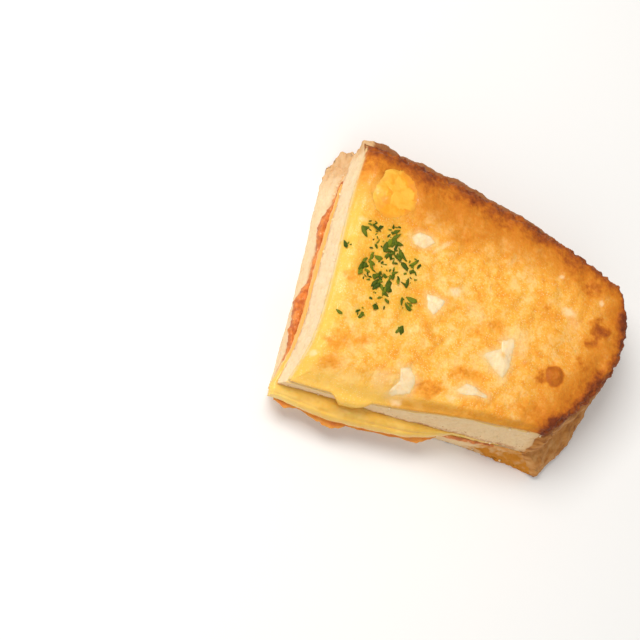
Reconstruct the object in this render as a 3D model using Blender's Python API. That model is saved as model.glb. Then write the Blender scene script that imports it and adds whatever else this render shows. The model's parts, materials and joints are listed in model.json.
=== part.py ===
"""A quarter of a baked egg and pizza toast, lying flat on its lower slice.

Two thin slices of white bread hold tomato sauce and a slice of cheese, and a bubbly layer of egg
and cheese with parsley is baked onto the upper slice. The knife has cut the left and the front,
and the loaf's crust is left on the far side and on the right, where it rounds the shoulder.

Run it in Blender 4.5. Units are metres, +Z is up, and the front cut faces -Y.
"""

import math
import random

import bmesh
import bpy
from mathutils import Euler, Matrix, Vector, noise
from mathutils.bvhtree import BVHTree

MM = 0.001
GAP = 0.35 * MM  # clear space between pieces that lie on each other

# The plan of each slice, seen from above, as four cubic curves. Every curve runs away from the
# near corner, where the two cuts meet, or towards the shoulder, where the two crusts meet.
UPPER_NEAR = Vector((2.2, 1.6)) * MM
UPPER_FRONT_END = Vector((66.6, -0.8)) * MM
UPPER_LEFT_END = Vector((14.1, 60.9)) * MM
UPPER_SHOULDER = Vector((81.2, 38.2)) * MM
UPPER_CUT_BOWS = (Vector((3.6, 0.0)) * MM, Vector((-1.6, 0.0)) * MM)
UPPER_FRONT_BOWS = (Vector((0.0, -2.2)) * MM, Vector((0.0, -0.2)) * MM)
LOWER_NEAR = Vector((3.0, 2.6)) * MM
LOWER_FRONT_END = Vector((73.5, -6.6)) * MM
LOWER_LEFT_END = Vector((10.8, 60.8)) * MM
LOWER_SHOULDER = Vector((81.8, 38.0)) * MM
LOWER_CUT_BOWS = (Vector((1.0, 0.0)) * MM, Vector((1.1, 0.0)) * MM)
LOWER_FRONT_BOWS = (Vector((0.0, 1.6)) * MM, Vector((0.0, 2.2)) * MM)
FAR_START_HANDLE = Vector((18.0, -2.6)) * MM  # the far crust leaves the left cut along this
FAR_END_HANDLE = Vector((-7.5, 8.6)) * MM  # and runs round the shoulder along these two
SIDE_END_HANDLE = Vector((11.8, -18.3)) * MM
SIDE_START_HANDLE = Vector((6.9, 7.4)) * MM  # the right crust leaves the front cut along this
PLAN_WIDTH = 72 * MM  # typical run between the left cut and the right crust
PLAN_DEPTH = 56 * MM  # typical run between the front cut and the far crust

# Heights of the layers.
SEAM_HEIGHT = 10.4 * MM  # where the slices meet at the crust
LOWER_HOLLOW = 3.9 * MM  # how much thinner the lower slice is under the filling
SAUCE_THICKNESS = 2.2 * MM
CHEESE_THICKNESS = 2.5 * MM
UPPER_THICKNESS = 9.6 * MM
UPPER_SQUEEZE = 0.9 * MM  # how much thinner the upper slice is away from its crust
TOPPING_THICKNESS = 2.0 * MM
TOPPING_BUMPS = 0.55 * MM
BUMP_SIZE = 6.5 * MM
FILLING_MARGIN = 20 * MM  # from the crust to where the filling has its full thickness
LAYER_MARGIN = 5 * MM  # from the crust to where the layers have their full gaps
FAR_CRUST_FACING = Vector((0.287, 0.958))  # which way each crust faces, roughly
FAR_CRUST_AT = 62.0 * MM  # and how far along that way it lies
RIGHT_CRUST_FACING = Vector((0.838, -0.545))
RIGHT_CRUST_AT = 57.0 * MM
CRUST_CORNER_BLEND = 3 * MM

# The knife squeezes the lower slice at the near corner, and rolls the upper slice's edge over
# along the near half of the front cut.
SQUEEZE_REACH = 10 * MM
SQUEEZE_SHARE = 0.15
FRONT_FALL = 4.6 * MM
FRONT_FALL_REACH = 9 * MM
FRONT_FALL_START = 24 * MM
FRONT_FALL_END = 50 * MM
CUT_ROUNDING = 0.7 * MM
CUT_ROUNDING_REACH = 4 * MM

# The cuts slant: the seam lies further out than the upper slice's upper face.
SEAM_FORWARD = 2.8 * MM  # at the front cut's right end
SEAM_FORWARD_START = 0.28  # share of the front cut at which it starts
SEAM_LEFTWARD = 1.0 * MM  # along the near half of the left cut
SEAM_LEFTWARD_FADE = (0.5, 0.85)  # shares of the left cut between which that goes
SEAM_REACH = 14 * MM  # from the cut to where it has gone

# The crust.
CRUST_BULGE = 1.9 * MM
CRUST_INSET = 0.9 * MM
CRUST_ROUNDING = 1.3 * MM
BASE_ROUNDING = 0.9 * MM
CRUST_ROUNDING_REACH = 3.2 * MM
WALL_UNEVENNESS = 0.3 * MM
CRUST_UNEVENNESS = 0.9 * MM
ACROSS_WAVES = Vector((31.7, 11.3, 5.9))  # how far off the waves across are from those along
WALL_GRAIN = 7 * MM

# The filling: the shares of the slices' width and depth that it covers, and its rounded edge.
SAUCE_SHARES = (0.86, 0.87)
CHEESE_SHARES = (0.875, 0.855)
EDGE_SHARE = 0.05  # of the sauce's or cheese's fields, those moved as its edge
FILLING_ROUNDING = 0.4 * MM
SAUCE_FRONT = 0.5 * MM
SAUCE_RAGGEDNESS = 0.6 * MM

# The cheese hangs out of the front cut as a lip.
LIP_LENGTH = 4.4 * MM  # from the upper slice's upper face
LIP_DROOP = 1.5 * MM
LIP_THICKENING = 0.9 * MM
LIP_END = 0.86  # share of the front cut at which the lip has gone
CORNER_FLARE = 0.8 * MM
FLARE_REACH = 9 * MM

# Where the topping has run over the front cut.
DRIP_PLACE = 17.8 * MM
DRIP_HALF_WIDTH = 5.6 * MM
DRIP_LENGTH = 3.9 * MM
DRIP_BEND = 1.2 * MM  # how far the topping runs while it turns from the top onto the cut
EDGE_LENGTH = 0.35 * MM
EDGE_BACK = 0.4 * MM  # how far its edge stays back from the front cut beside the drip
EDGE_THINNING = 0.5  # share by which it is thinner at that edge
DRIP_FULLNESS = 0.25  # share of that which the drip keeps

# Sauce that wells out of the left cut: place along the cut, reach and extra height.
SAUCE_WELLS = ((0.35, 0.11, 2.2 * MM), (0.24, 0.09, 1.3 * MM), (0.68, 0.13, 1.2 * MM))

# Pieces of egg in the topping: name, place, length, width, height, turn in degrees, colour.
EGG_PIECES = (
    ("egg_white_1", (50.6, 14.2), (9.0, 6.6, 1.9), 65, "white"),
    ("egg_white_2", (27.6, 5.8), (8.2, 6.4, 1.8), 75, "white"),
    ("egg_white_3", (29.2, 39.4), (7.0, 4.6, 1.8), -10, "white"),
    ("egg_white_4", (33.4, 24.3), (5.6, 4.6, 1.8), 75, "white"),
    ("egg_white_5", (43.8, 5.8), (7.6, 3.8, 1.7), 0, "white"),
    ("egg_yolk", (20.2, 48.8), (12.2, 11.0, 1.8), 20, "yolk"),
)
EGG_SINK = 0.6  # share of an egg piece's height that lies below the topping's surface
EGG_ANGULARITY = 0.3
EGG_CLEARANCE = 2.0  # between a piece of egg and the middle of a flake, in millimetres

# Parsley: patches of flakes as centre, half widths, turn in degrees and number of flakes.
PARSLEY_PATCHES = (
    ((15.5, 39.0), (2.5, 2.5), 0, 4),
    ((21.5, 39.0), (1.6, 3.0), 0, 4),
    ((19.5, 35.0), (4.5, 2.0), 0, 6),
    ((25.0, 31.5), (4.0, 4.0), 0, 9),
    ((18.0, 29.5), (4.5, 3.5), 0, 12),
    ((19.5, 24.0), (2.6, 4.0), 0, 6),
    ((15.3, 18.8), (1.2, 1.4), 0, 3),
    ((26.3, 22.8), (1.8, 2.0), 0, 3),
    ((10.1, 18.2), (0.5, 0.5), 0, 1),
    ((25.3, 16.8), (0.5, 0.5), 0, 1),
    ((10.7, 34.5), (0.5, 0.5), 0, 1),
)
FLAKE_LENGTH = (1.5 * MM, 2.7 * MM)
FLAKE_WIDTH = (0.9 * MM, 1.5 * MM)
FLAKE_THICKNESS = 0.55 * MM
FLAKE_SPACING = 1.2 * MM
FLAKE_RISE = 0.06 * MM  # how far a flake's middle lies above the topping
FLAKE_SEED = 11

# Fields along the front cut, along the left cut and up through each piece.
SLICE_FIELDS = (20, 17, 4)
LOWER_FIELDS = (18, 16, 4)
SAUCE_FIELDS = (18, 16, 2)
CHEESE_FIELDS = (18, 19, 2)
LIP_ROWS = 3  # of the cheese's rows, those that hang out of the front cut
TOPPING_FIELDS = (20, 21, 2)
DRIP_ROWS = 4  # of the topping's rows, those that hang over the front cut

# Colours: base colour and roughness.
FINISHES = {
    "crumb": ((0.86, 0.72, 0.50), 0.9),
    "sauce": ((0.72, 0.20, 0.05), 0.35),
    "cheese": ((0.93, 0.66, 0.16), 0.4),
    "topping": ((0.93, 0.58, 0.15), 0.4),
    "white": ((0.95, 0.88, 0.72), 0.35),
    "yolk": ((0.96, 0.58, 0.10), 0.4),
}


def clamp(value):
    return min(1.0, max(0.0, value))


def smooth(value):
    """0 below 0, 1 above 1, and a smooth step between."""
    value = clamp(value)
    return value * value * (3 - 2 * value)


def hump(distance):
    """1 at 0, falling smoothly to 0 at -1 and 1."""
    return 1 - smooth(abs(distance))


def cubic(curve, t):
    """The point at t on a cubic curve of four control points."""
    a, b, c, d = curve
    s = 1 - t
    return a * s**3 + b * (3 * s * s * t) + c * (3 * s * t * t) + d * t**3


def slice_plan(near, front_end, left_end, shoulder, cut_bows, front_bows):
    """The four curves round a slice: front cut, far crust, left cut and right crust."""
    front = (
        near,
        near.lerp(front_end, 1 / 3) + front_bows[0],
        near.lerp(front_end, 2 / 3) + front_bows[1],
        front_end,
    )
    far = (left_end, left_end + FAR_START_HANDLE, shoulder + FAR_END_HANDLE, shoulder)
    left = (
        near,
        near.lerp(left_end, 1 / 3) + cut_bows[0],
        near.lerp(left_end, 2 / 3) + cut_bows[1],
        left_end,
    )
    right = (front_end, front_end + SIDE_START_HANDLE, shoulder + SIDE_END_HANDLE, shoulder)
    return front, far, left, right


UPPER_PLAN = slice_plan(
    UPPER_NEAR, UPPER_FRONT_END, UPPER_LEFT_END, UPPER_SHOULDER, UPPER_CUT_BOWS, UPPER_FRONT_BOWS
)
LOWER_PLAN = slice_plan(
    LOWER_NEAR, LOWER_FRONT_END, LOWER_LEFT_END, LOWER_SHOULDER, LOWER_CUT_BOWS, LOWER_FRONT_BOWS
)


def place(plan, u, v):
    """The plan's point at u, from the left cut to the right crust, and v, from front to far."""
    front, far, left, right = plan
    edges = (
        cubic(front, u) * (1 - v)
        + cubic(far, u) * v
        + cubic(left, v) * (1 - u)
        + cubic(right, v) * u
    )
    corners = (
        front[0] * ((1 - u) * (1 - v))
        + front[3] * (u * (1 - v))
        + far[0] * ((1 - u) * v)
        + far[3] * (u * v)
    )
    return edges - corners


def to_crust_edge(u, v):
    """Distance along the plan to the nearer crust."""
    return min((1 - u) * PLAN_WIDTH, (1 - v) * PLAN_DEPTH)


def to_cut_edge(u, v):
    """Distance along the plan to the nearer cut."""
    return min(u * PLAN_WIDTH, v * PLAN_DEPTH)


def crust_distance(spot):
    """Rough distance from a place to the nearer of the two crusts, the same for every layer."""
    to_far = FAR_CRUST_AT - spot.dot(FAR_CRUST_FACING)
    to_right = RIGHT_CRUST_AT - spot.dot(RIGHT_CRUST_FACING)
    blend = CRUST_CORNER_BLEND
    return -blend * math.log(math.exp(-to_far / blend) + math.exp(-to_right / blend))


def squeeze(spot):
    """1 at the near corner, falling to 0 away from it."""
    return math.exp(-((spot.length / SQUEEZE_REACH) ** 2))


def filling_share(spot):
    """How much of the filling's full thickness there is room for between the slices."""
    return smooth(crust_distance(spot) / FILLING_MARGIN)


def lower_top(spot):
    """Height of the lower slice's upper face."""
    full = SEAM_HEIGHT - LOWER_HOLLOW * filling_share(spot)
    return full * (1 - SQUEEZE_SHARE * squeeze(spot))


def sauce_top(spot):
    """Height of the sauce's upper face."""
    return lower_top(spot) + GAP + SAUCE_THICKNESS * filling_share(spot)


def cheese_top(spot):
    """Height of the cheese's upper face."""
    return sauce_top(spot) + GAP + CHEESE_THICKNESS * filling_share(spot)


def upper_bottom(spot):
    """Height of the upper slice's lower face: two more gaps than at the crust, once it is open."""
    layers = smooth(crust_distance(spot) / LAYER_MARGIN)
    filling = (SAUCE_THICKNESS + CHEESE_THICKNESS) * filling_share(spot)
    return lower_top(spot) + GAP * (1 + 2 * layers) + filling


def upper_top(u, v):
    """Height of the upper slice's upper face."""
    spot = place(UPPER_PLAN, u, v)
    thickness = UPPER_THICKNESS - UPPER_SQUEEZE * filling_share(spot)
    along = (u * PLAN_WIDTH - FRONT_FALL_START) / (FRONT_FALL_END - FRONT_FALL_START)
    rolled = (1 - smooth(along)) * (1 - smooth(v * PLAN_DEPTH / FRONT_FALL_REACH))
    cut_fall = CUT_ROUNDING * (1 - smooth(to_cut_edge(u, v) / CUT_ROUNDING_REACH))
    crust_fall = CRUST_ROUNDING * (1 - smooth(to_crust_edge(u, v) / CRUST_ROUNDING_REACH))
    return upper_bottom(spot) + thickness - FRONT_FALL * rolled - cut_fall - crust_fall


def topping_thickness(u, v):
    """How thick the bubbly topping is, thinner at its rim."""
    spot = place(UPPER_PLAN, u, v) / BUMP_SIZE
    bumps = noise.noise(spot.to_3d()) + 0.5 * noise.noise(spot.to_3d() * 2.3)
    rim = smooth(min(to_cut_edge(u, v), to_crust_edge(u, v)) / CRUST_ROUNDING_REACH)
    return TOPPING_THICKNESS * (0.55 + 0.45 * rim) + TOPPING_BUMPS * bumps * (0.3 + 0.7 * rim)


def spread(t):
    """Moves even steps from 0 to 1 closer together at both ends."""
    eased = 0.5 - 0.5 * math.cos(math.pi * t)
    return 0.55 * t + 0.45 * eased


def hanging_rows(b, count, hanging):
    """Splits the share b of a block's rows: the share inside, and the share that hangs out."""
    share = hanging / count
    inside = max(0.0, (b - share) / (1 - share))
    outside = max(0.0, (share - b) / share)
    return inside, outside


def unit_block(counts):
    """A cube from 0 to 1 whose sides are cut into fields, counts of them along x, y and z."""
    block = bmesh.new()
    bmesh.ops.create_cube(block, size=1.0, matrix=Matrix.Translation((0.5, 0.5, 0.5)))
    for axis, count in enumerate(counts):
        normal = Vector((0, 0, 0))
        normal[axis] = 1
        for step in range(1, count):
            everything = block.verts[:] + block.edges[:] + block.faces[:]
            bmesh.ops.bisect_plane(
                block, geom=everything, dist=1e-6, plane_co=normal * (step / count), plane_no=normal
            )
    return block


def material(name):
    """A plain finish from FINISHES, made once."""
    found = bpy.data.materials.get(name)
    if found:
        return found
    colour, roughness = FINISHES[name]
    made = bpy.data.materials.new(name)
    made.use_nodes = True
    shader = made.node_tree.nodes["Principled BSDF"]
    shader.inputs["Base Color"].default_value = (*colour, 1)
    shader.inputs["Roughness"].default_value = roughness
    return made


def add_object(name, shape, finish, collection):
    """Puts a bmesh into the scene as a named object and frees it."""
    mesh = bpy.data.meshes.new(name)
    shape.to_mesh(mesh)
    shape.free()
    mesh.materials.append(material(finish))
    made = bpy.data.objects.new(name, mesh)
    collection.objects.link(made)
    return made


def warped_block(name, counts, warp, finish, collection):
    """A block whose points are moved by warp(u, v, w) to their places in the food."""
    block = unit_block(counts)
    for vertex in block.verts:
        u, v, w = vertex.co
        vertex.co = warp(u, v, w)
    bmesh.ops.recalc_face_normals(block, faces=block.faces)
    return add_object(name, block, finish, collection)


def wall_place(plan, u, v, w):
    """A slice's plan point, with the crust bulging at mid height and drawn in at its edges."""
    swell = CRUST_BULGE * math.sin(math.pi * w) - CRUST_INSET * (2 * w - 1) ** 2
    if u > 0.999:
        u = 1 + swell / PLAN_WIDTH
    if v > 0.999:
        v = 1 + swell / PLAN_DEPTH
    return place(plan, u, v)


def seam_shift(u, v):
    """How far the seam lies out from the upper slice's upper face, beside the cuts."""
    near_front = 1 - smooth(v * PLAN_DEPTH / SEAM_REACH)
    near_left = 1 - smooth(u * PLAN_WIDTH / SEAM_REACH)
    forward = SEAM_FORWARD * clamp((u - SEAM_FORWARD_START) / (1 - SEAM_FORWARD_START)) ** 0.75
    start, end = SEAM_LEFTWARD_FADE
    leftward = SEAM_LEFTWARD * (1 - smooth((v - start) / (end - start)))
    return Vector((-leftward * near_left, -forward * near_front))


def uneven(spot, z, to_crust):
    """A point of a slice, shifted sideways so that its cuts look torn and its crust knobbly."""
    point = Vector((spot.x, spot.y, z))
    knobbly = 1 - smooth(to_crust / CRUST_ROUNDING_REACH)
    amount = WALL_UNEVENNESS + (CRUST_UNEVENNESS - WALL_UNEVENNESS) * knobbly
    waves = point / WALL_GRAIN
    shift = Vector((noise.noise(waves), noise.noise(waves + ACROSS_WAVES), 0))
    return point + shift * amount


def lower_slice(a, b, w):
    """The lower slice, whose walls spread from the seam's plan to its own."""
    u, v = spread(a), spread(b)
    seam = wall_place(UPPER_PLAN, u, v, w) + seam_shift(u, v)
    spot = wall_place(LOWER_PLAN, u, v, w).lerp(seam, smooth(w))
    to_crust = to_crust_edge(u, v)
    z = lower_top(spot) * w
    if w < 0.001:
        z = BASE_ROUNDING * (1 - smooth(to_crust / CRUST_ROUNDING_REACH))
    return uneven(spot, z, to_crust)


def upper_slice(a, b, w):
    """The upper slice, lying on the filling."""
    u, v = spread(a), spread(b)
    spot = wall_place(UPPER_PLAN, u, v, w) + seam_shift(u, v) * (1 - w)
    bottom = upper_bottom(spot)
    z = bottom + (upper_top(u, v) - bottom) * w
    return uneven(spot, z, to_crust_edge(u, v))


def sauce_layer(a, b, w):
    """Sauce between the lower slice and the cheese, welling out of the left cut in places."""
    u = SAUCE_SHARES[0] * spread(a)
    v = SAUCE_SHARES[1] * spread(b)
    well = sum(height * hump((v - at) / reach) for at, reach, height in SAUCE_WELLS)
    left = 1 - smooth(a / EDGE_SHARE)
    front = 1 - smooth(b / EDGE_SHARE)
    rounding = FILLING_ROUNDING * (2 * w - 1) ** 2
    ragged = SAUCE_RAGGEDNESS * noise.noise(Vector((u * 14, v * 14, 3.0)))
    spot = place(UPPER_PLAN, u, v) + seam_shift(u, v)
    spot.x -= left * (FILLING_ROUNDING / 2 + well - rounding)
    spot.y -= front * (SAUCE_FRONT + ragged - rounding)
    bottom = lower_top(spot) + GAP
    return spot.to_3d() + Vector((0, 0, bottom + (sauce_top(spot) - bottom) * w))


def lip_share(u):
    """How far the cheese hangs out at this place along the front cut, from 0 to 1."""
    start = 0.62 + 0.38 * smooth(u / 0.22)
    return start * (1 - smooth((u - 0.48) / (LIP_END - 0.48)))


def cheese_layer(a, b, w):
    """The slice of cheese, with a drooping lip at the front cut and a flared near corner."""
    inner, out = hanging_rows(b, CHEESE_FIELDS[1], LIP_ROWS)
    u = CHEESE_SHARES[0] * spread(a)
    v = CHEESE_SHARES[1] * spread(inner)
    rounding = FILLING_ROUNDING * (2 * w - 1) ** 2
    share = lip_share(u)
    corner = 1 - smooth((u * PLAN_WIDTH + v * PLAN_DEPTH) / FLARE_REACH)
    left = 1 - smooth(a / EDGE_SHARE)
    tip = smooth((out - 0.55) / 0.45)
    length = max(0.0, share * LIP_LENGTH + seam_shift(u, 0).y)
    spot = place(UPPER_PLAN, u, v) + seam_shift(u, v)
    spot.x -= left * (FILLING_ROUNDING + CORNER_FLARE * corner - 1.5 * rounding)
    spot.y -= out * length - 1.75 * share * tip * rounding
    past_sauce = smooth((out - 0.3) / 0.7) * share
    droop = LIP_DROOP * past_sauce
    thicker = LIP_THICKENING * past_sauce
    bottom = sauce_top(spot) + GAP - droop - thicker * 0.6
    top = cheese_top(spot) - droop * 0.8 + thicker * 0.2
    return spot.to_3d() + Vector((0, 0, bottom + (top - bottom) * w))


def topping_layer(a, b, w):
    """The baked topping, whose front rows hang over the front cut and run down it as a drip."""
    inner, over = hanging_rows(b, TOPPING_FIELDS[1], DRIP_ROWS)
    u, v = spread(a), spread(inner)
    rim = CRUST_INSET * (0.5 + 0.6 * w)
    u -= rim / PLAN_WIDTH * (smooth((u - 0.9) / 0.1) - 0.7 * w * (1 - smooth(u / 0.1)))
    v -= rim / PLAN_DEPTH * smooth((v - 0.9) / 0.1)
    run = clamp(1.3 * hump((place(UPPER_PLAN, u, v).x - DRIP_PLACE) / DRIP_HALF_WIDTH))
    back = EDGE_BACK * (1 - run) * (1 - smooth(v * PLAN_DEPTH / CUT_ROUNDING_REACH))
    v += back / PLAN_DEPTH
    spot = place(UPPER_PLAN, u, v)
    length = over * (EDGE_LENGTH + DRIP_LENGTH * run)
    turn = min(math.pi / 2, length / DRIP_BEND)
    down = max(0.0, length - DRIP_BEND * math.pi / 2)
    clear = GAP + WALL_UNEVENNESS * 0.6 * math.sin(turn)
    thinned = 1 - over * (EDGE_THINNING - DRIP_FULLNESS * run)
    layer = clear + topping_thickness(u, v) * w * thinned
    spot.y -= layer * math.sin(turn)
    return spot.to_3d() + Vector((0, 0, upper_top(u, v) + layer * math.cos(turn) - down))


def surface_of(piece):
    """A search tree over a piece's faces."""
    corners = [vertex.co for vertex in piece.data.vertices]
    faces = [face.vertices for face in piece.data.polygons]
    return BVHTree.FromPolygons(corners, faces)


def surface_frame(surface, x, y):
    """Where the surface is seen from above at x, y, and which way it faces there."""
    point, facing, _, _ = surface.ray_cast(Vector((x, y, 1.0)), Vector((0, 0, -1)))
    return point, facing


def egg_shape(number, size, spare):
    """A lump of egg with a broken, angular outline, spare larger all round."""
    shape = bmesh.new()
    bmesh.ops.create_icosphere(shape, subdivisions=2, radius=1.0)
    half = Vector(size) * MM / 2
    for vertex in shape.verts:
        way = vertex.co.normalized()
        broken = 1 + EGG_ANGULARITY * noise.noise(way * 1.9 + Vector((number * 7.3, 0, 0)))
        flat = Vector((way.x, way.y, math.copysign(abs(way.z) ** 0.6, way.z)))
        vertex.co = Vector(
            flat[axis] * (half[axis] * broken + spare) for axis in range(3)
        )
    return shape


def egg_piece(number, entry, spare, surface, collection):
    """One piece of egg, lying in the topping with its upper part standing proud."""
    name, (x, y), size, turn, finish = entry
    point, facing = surface_frame(surface, x * MM, y * MM)
    shape = egg_shape(number, size, spare)
    height = size[2] * MM
    lift = Matrix.Translation(point + facing * height * (0.5 - EGG_SINK))
    lean = facing.to_track_quat("Z", "Y").to_matrix().to_4x4()
    shape.transform(lift @ lean @ Matrix.Rotation(math.radians(turn), 4, "Z"))
    return add_object(name, shape, finish, collection)


def near_egg(x, y):
    """Whether a flake at x, y would touch a piece of egg."""
    for _, (egg_x, egg_y), size, _, _ in EGG_PIECES:
        if math.hypot(x / MM - egg_x, y / MM - egg_y) < max(size[:2]) / 2 + EGG_CLEARANCE:
            return True
    return False


def flake_places():
    """Places for the flakes, apart from each other and from the egg."""
    draw = random.Random(FLAKE_SEED)
    places = []
    for (centre_x, centre_y), (half_x, half_y), turn, count in PARSLEY_PATCHES:
        for _ in range(count):
            radius = math.sqrt(draw.random())
            angle = draw.uniform(0, 2 * math.pi)
            offset = Vector((half_x * radius * math.cos(angle), half_y * radius * math.sin(angle)))
            offset.rotate(Matrix.Rotation(math.radians(turn), 2))
            spot = (Vector((centre_x, centre_y)) + offset) * MM
            crowded = any((spot - other).length < FLAKE_SPACING for other in places)
            if not crowded and not near_egg(*spot):
                places.append(spot)
    return places, draw


def add_flakes(surface, collection):
    """Flat leaf flakes, each half sunk in the topping."""
    places, draw = flake_places()
    for number, spot in enumerate(places):
        point, facing = surface_frame(surface, *spot)
        flake = bmesh.new()
        bmesh.ops.create_icosphere(flake, subdivisions=1, radius=0.5)
        size = Matrix.Diagonal(
            (draw.uniform(*FLAKE_LENGTH), draw.uniform(*FLAKE_WIDTH), FLAKE_THICKNESS, 1)
        )
        lean = Euler((draw.uniform(-0.35, 0.35), draw.uniform(-0.3, 0.3), 0)).to_matrix().to_4x4()
        turn = Matrix.Rotation(draw.uniform(0, 2 * math.pi), 4, "Z")
        facing_turn = facing.to_track_quat("Z", "Y").to_matrix().to_4x4()
        lift = Matrix.Translation(point + facing * FLAKE_RISE)
        flake.transform(lift @ facing_turn @ lean @ turn @ size)
        add_object(f"flake_{number}", flake, "topping", collection)


def apply_boolean(piece, tools, operation, solver="EXACT"):
    """Joins the tools' collection to the piece, or cuts it out, and removes the tools."""
    change = piece.modifiers.new(operation, "BOOLEAN")
    change.operation = operation
    change.operand_type = "COLLECTION"
    change.collection = tools
    change.solver = solver
    bpy.context.view_layer.update()
    evaluated = piece.evaluated_get(bpy.context.evaluated_depsgraph_get())
    mesh = bpy.data.meshes.new_from_object(evaluated)
    piece.modifiers.clear()
    piece.data = mesh
    for tool in list(tools.objects):
        bpy.data.objects.remove(tool)
    bpy.data.collections.remove(tools)


def new_collection(name):
    collection = bpy.data.collections.new(name)
    bpy.context.scene.collection.children.link(collection)
    return collection


def centre_on_base(collection):
    """Moves the food so that the middle of its box's underside is at the origin."""
    corners = [v.co for piece in collection.objects for v in piece.data.vertices]
    lowest = Vector(min(c[axis] for c in corners) for axis in range(3))
    highest = Vector(max(c[axis] for c in corners) for axis in range(3))
    middle = (lowest + highest) / 2
    for piece in collection.objects:
        piece.data.transform(Matrix.Translation((-middle.x, -middle.y, -lowest.z)))


def main():
    for old in list(bpy.data.objects):
        bpy.data.objects.remove(old)
    toast = new_collection("egg_pizza_toast")
    warped_block("bread_bottom", LOWER_FIELDS, lower_slice, "crumb", toast)
    warped_block("tomato_sauce", SAUCE_FIELDS, sauce_layer, "sauce", toast)
    warped_block("cheese_slice", CHEESE_FIELDS, cheese_layer, "cheese", toast)
    warped_block("bread_top", SLICE_FIELDS, upper_slice, "crumb", toast)
    topping = warped_block("egg_cheese_topping", TOPPING_FIELDS, topping_layer, "topping", toast)

    surface = surface_of(topping)
    pockets = new_collection("pockets")
    for number, entry in enumerate(EGG_PIECES):
        egg_piece(number, entry, GAP, surface, pockets)
    apply_boolean(topping, pockets, "DIFFERENCE")

    flakes = new_collection("flakes")
    add_flakes(surface, flakes)
    apply_boolean(topping, flakes, "UNION", "MANIFOLD")

    for number, entry in enumerate(EGG_PIECES):
        egg_piece(number, entry, 0.0, surface, toast)
    centre_on_base(toast)


main()
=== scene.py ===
"""Looks for a quarter of a baked egg and pizza toast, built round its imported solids.

Every piece is made in the plan's own coordinates, from the same curves and heights as the solids,
with far finer fields, relief, and shares painted onto its points for the finishes to read. Units
are metres, +Z is up, and the front cut faces -Y.
"""

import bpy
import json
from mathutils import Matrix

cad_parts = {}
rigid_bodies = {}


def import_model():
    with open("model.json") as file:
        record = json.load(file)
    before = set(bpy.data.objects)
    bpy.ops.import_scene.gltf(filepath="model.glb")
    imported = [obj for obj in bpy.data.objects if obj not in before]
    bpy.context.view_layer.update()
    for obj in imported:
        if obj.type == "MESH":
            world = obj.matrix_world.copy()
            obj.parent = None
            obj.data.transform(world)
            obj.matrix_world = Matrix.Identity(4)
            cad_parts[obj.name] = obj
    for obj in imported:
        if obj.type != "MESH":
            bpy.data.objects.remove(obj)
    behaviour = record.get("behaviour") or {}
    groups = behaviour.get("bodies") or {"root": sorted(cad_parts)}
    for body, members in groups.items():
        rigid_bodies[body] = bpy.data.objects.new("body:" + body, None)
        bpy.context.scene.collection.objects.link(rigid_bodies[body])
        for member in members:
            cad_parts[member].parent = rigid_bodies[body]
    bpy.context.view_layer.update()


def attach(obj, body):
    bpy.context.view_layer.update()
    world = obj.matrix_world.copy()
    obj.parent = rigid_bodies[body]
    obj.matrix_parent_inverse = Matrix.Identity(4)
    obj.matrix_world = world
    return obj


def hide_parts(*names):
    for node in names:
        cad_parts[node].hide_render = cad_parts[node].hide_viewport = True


bl_info = {
    "name": "Egg Pizza Toast",
    "version": (1, 0, 0),
    "blender": (4, 5, 0),
    "location": "3D View > Sidebar > Toast",
    "description": "Builds the bread, filling, topping, egg and parsley of a baked toast",
    "category": "Add Mesh",
}

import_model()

import json
import math
import random

import bpy
import numpy as np
from bpy.props import FloatProperty, FloatVectorProperty, IntProperty, PointerProperty
from mathutils import Matrix, Vector, noise
from mathutils.bvhtree import BVHTree

MM = 0.001
BODY = "root"
PLAN_MIDDLE = np.array((43.5264, 28.3191, 0.0)) * MM  # the plan's point that lies at the origin
GAP = 0.35 * MM
HIGH_ABOVE = 0.2  # a height well above the toast


def mm(*values):
    """A point in millimetres, as metres."""
    return np.array(values, float) * MM


# The plan of each slice, seen from above: near corner, front end, left end and shoulder, and how
# the cuts bow.
UPPER_ENDS = (mm(2.2, 1.6), mm(66.6, -0.8), mm(14.1, 60.9), mm(81.2, 38.2))
UPPER_BOWS = ((mm(3.6, 0), mm(-1.6, 0)), (mm(0, -2.2), mm(0, -0.2)))
LOWER_ENDS = (mm(3.0, 2.6), mm(73.5, -6.6), mm(10.8, 60.8), mm(81.8, 38.0))
LOWER_BOWS = ((mm(1.0, 0), mm(1.1, 0)), (mm(0, 1.6), mm(0, 2.2)))
FAR_START_HANDLE = mm(18.0, -2.6)
FAR_END_HANDLE = mm(-7.5, 8.6)
SIDE_END_HANDLE = mm(11.8, -18.3)
SIDE_START_HANDLE = mm(6.9, 7.4)
PLAN_WIDTH = 72 * MM
PLAN_DEPTH = 56 * MM

# Heights of the layers.
SEAM_HEIGHT = 10.4 * MM
LOWER_HOLLOW = 3.9 * MM
SAUCE_THICKNESS = 2.2 * MM
CHEESE_THICKNESS = 2.5 * MM
UPPER_THICKNESS = 9.6 * MM
UPPER_SQUEEZE = 0.9 * MM
TOPPING_THICKNESS = 2.0 * MM
TOPPING_BUMPS = 0.55 * MM
BUMP_SIZE = 6.5 * MM
FILLING_MARGIN = 20 * MM
LAYER_MARGIN = 5 * MM
FAR_CRUST_FACING = np.array((0.287, 0.958))
FAR_CRUST_AT = 62.0 * MM
RIGHT_CRUST_FACING = np.array((0.838, -0.545))
RIGHT_CRUST_AT = 57.0 * MM
CRUST_CORNER_BLEND = 3 * MM
SQUEEZE_REACH = 10 * MM
SQUEEZE_SHARE = 0.15
FRONT_FALL = 4.6 * MM
FRONT_FALL_REACH = 9 * MM
FRONT_FALL_START = 24 * MM
FRONT_FALL_END = 50 * MM
CUT_ROUNDING = 0.7 * MM
CUT_ROUNDING_REACH = 4 * MM
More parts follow.
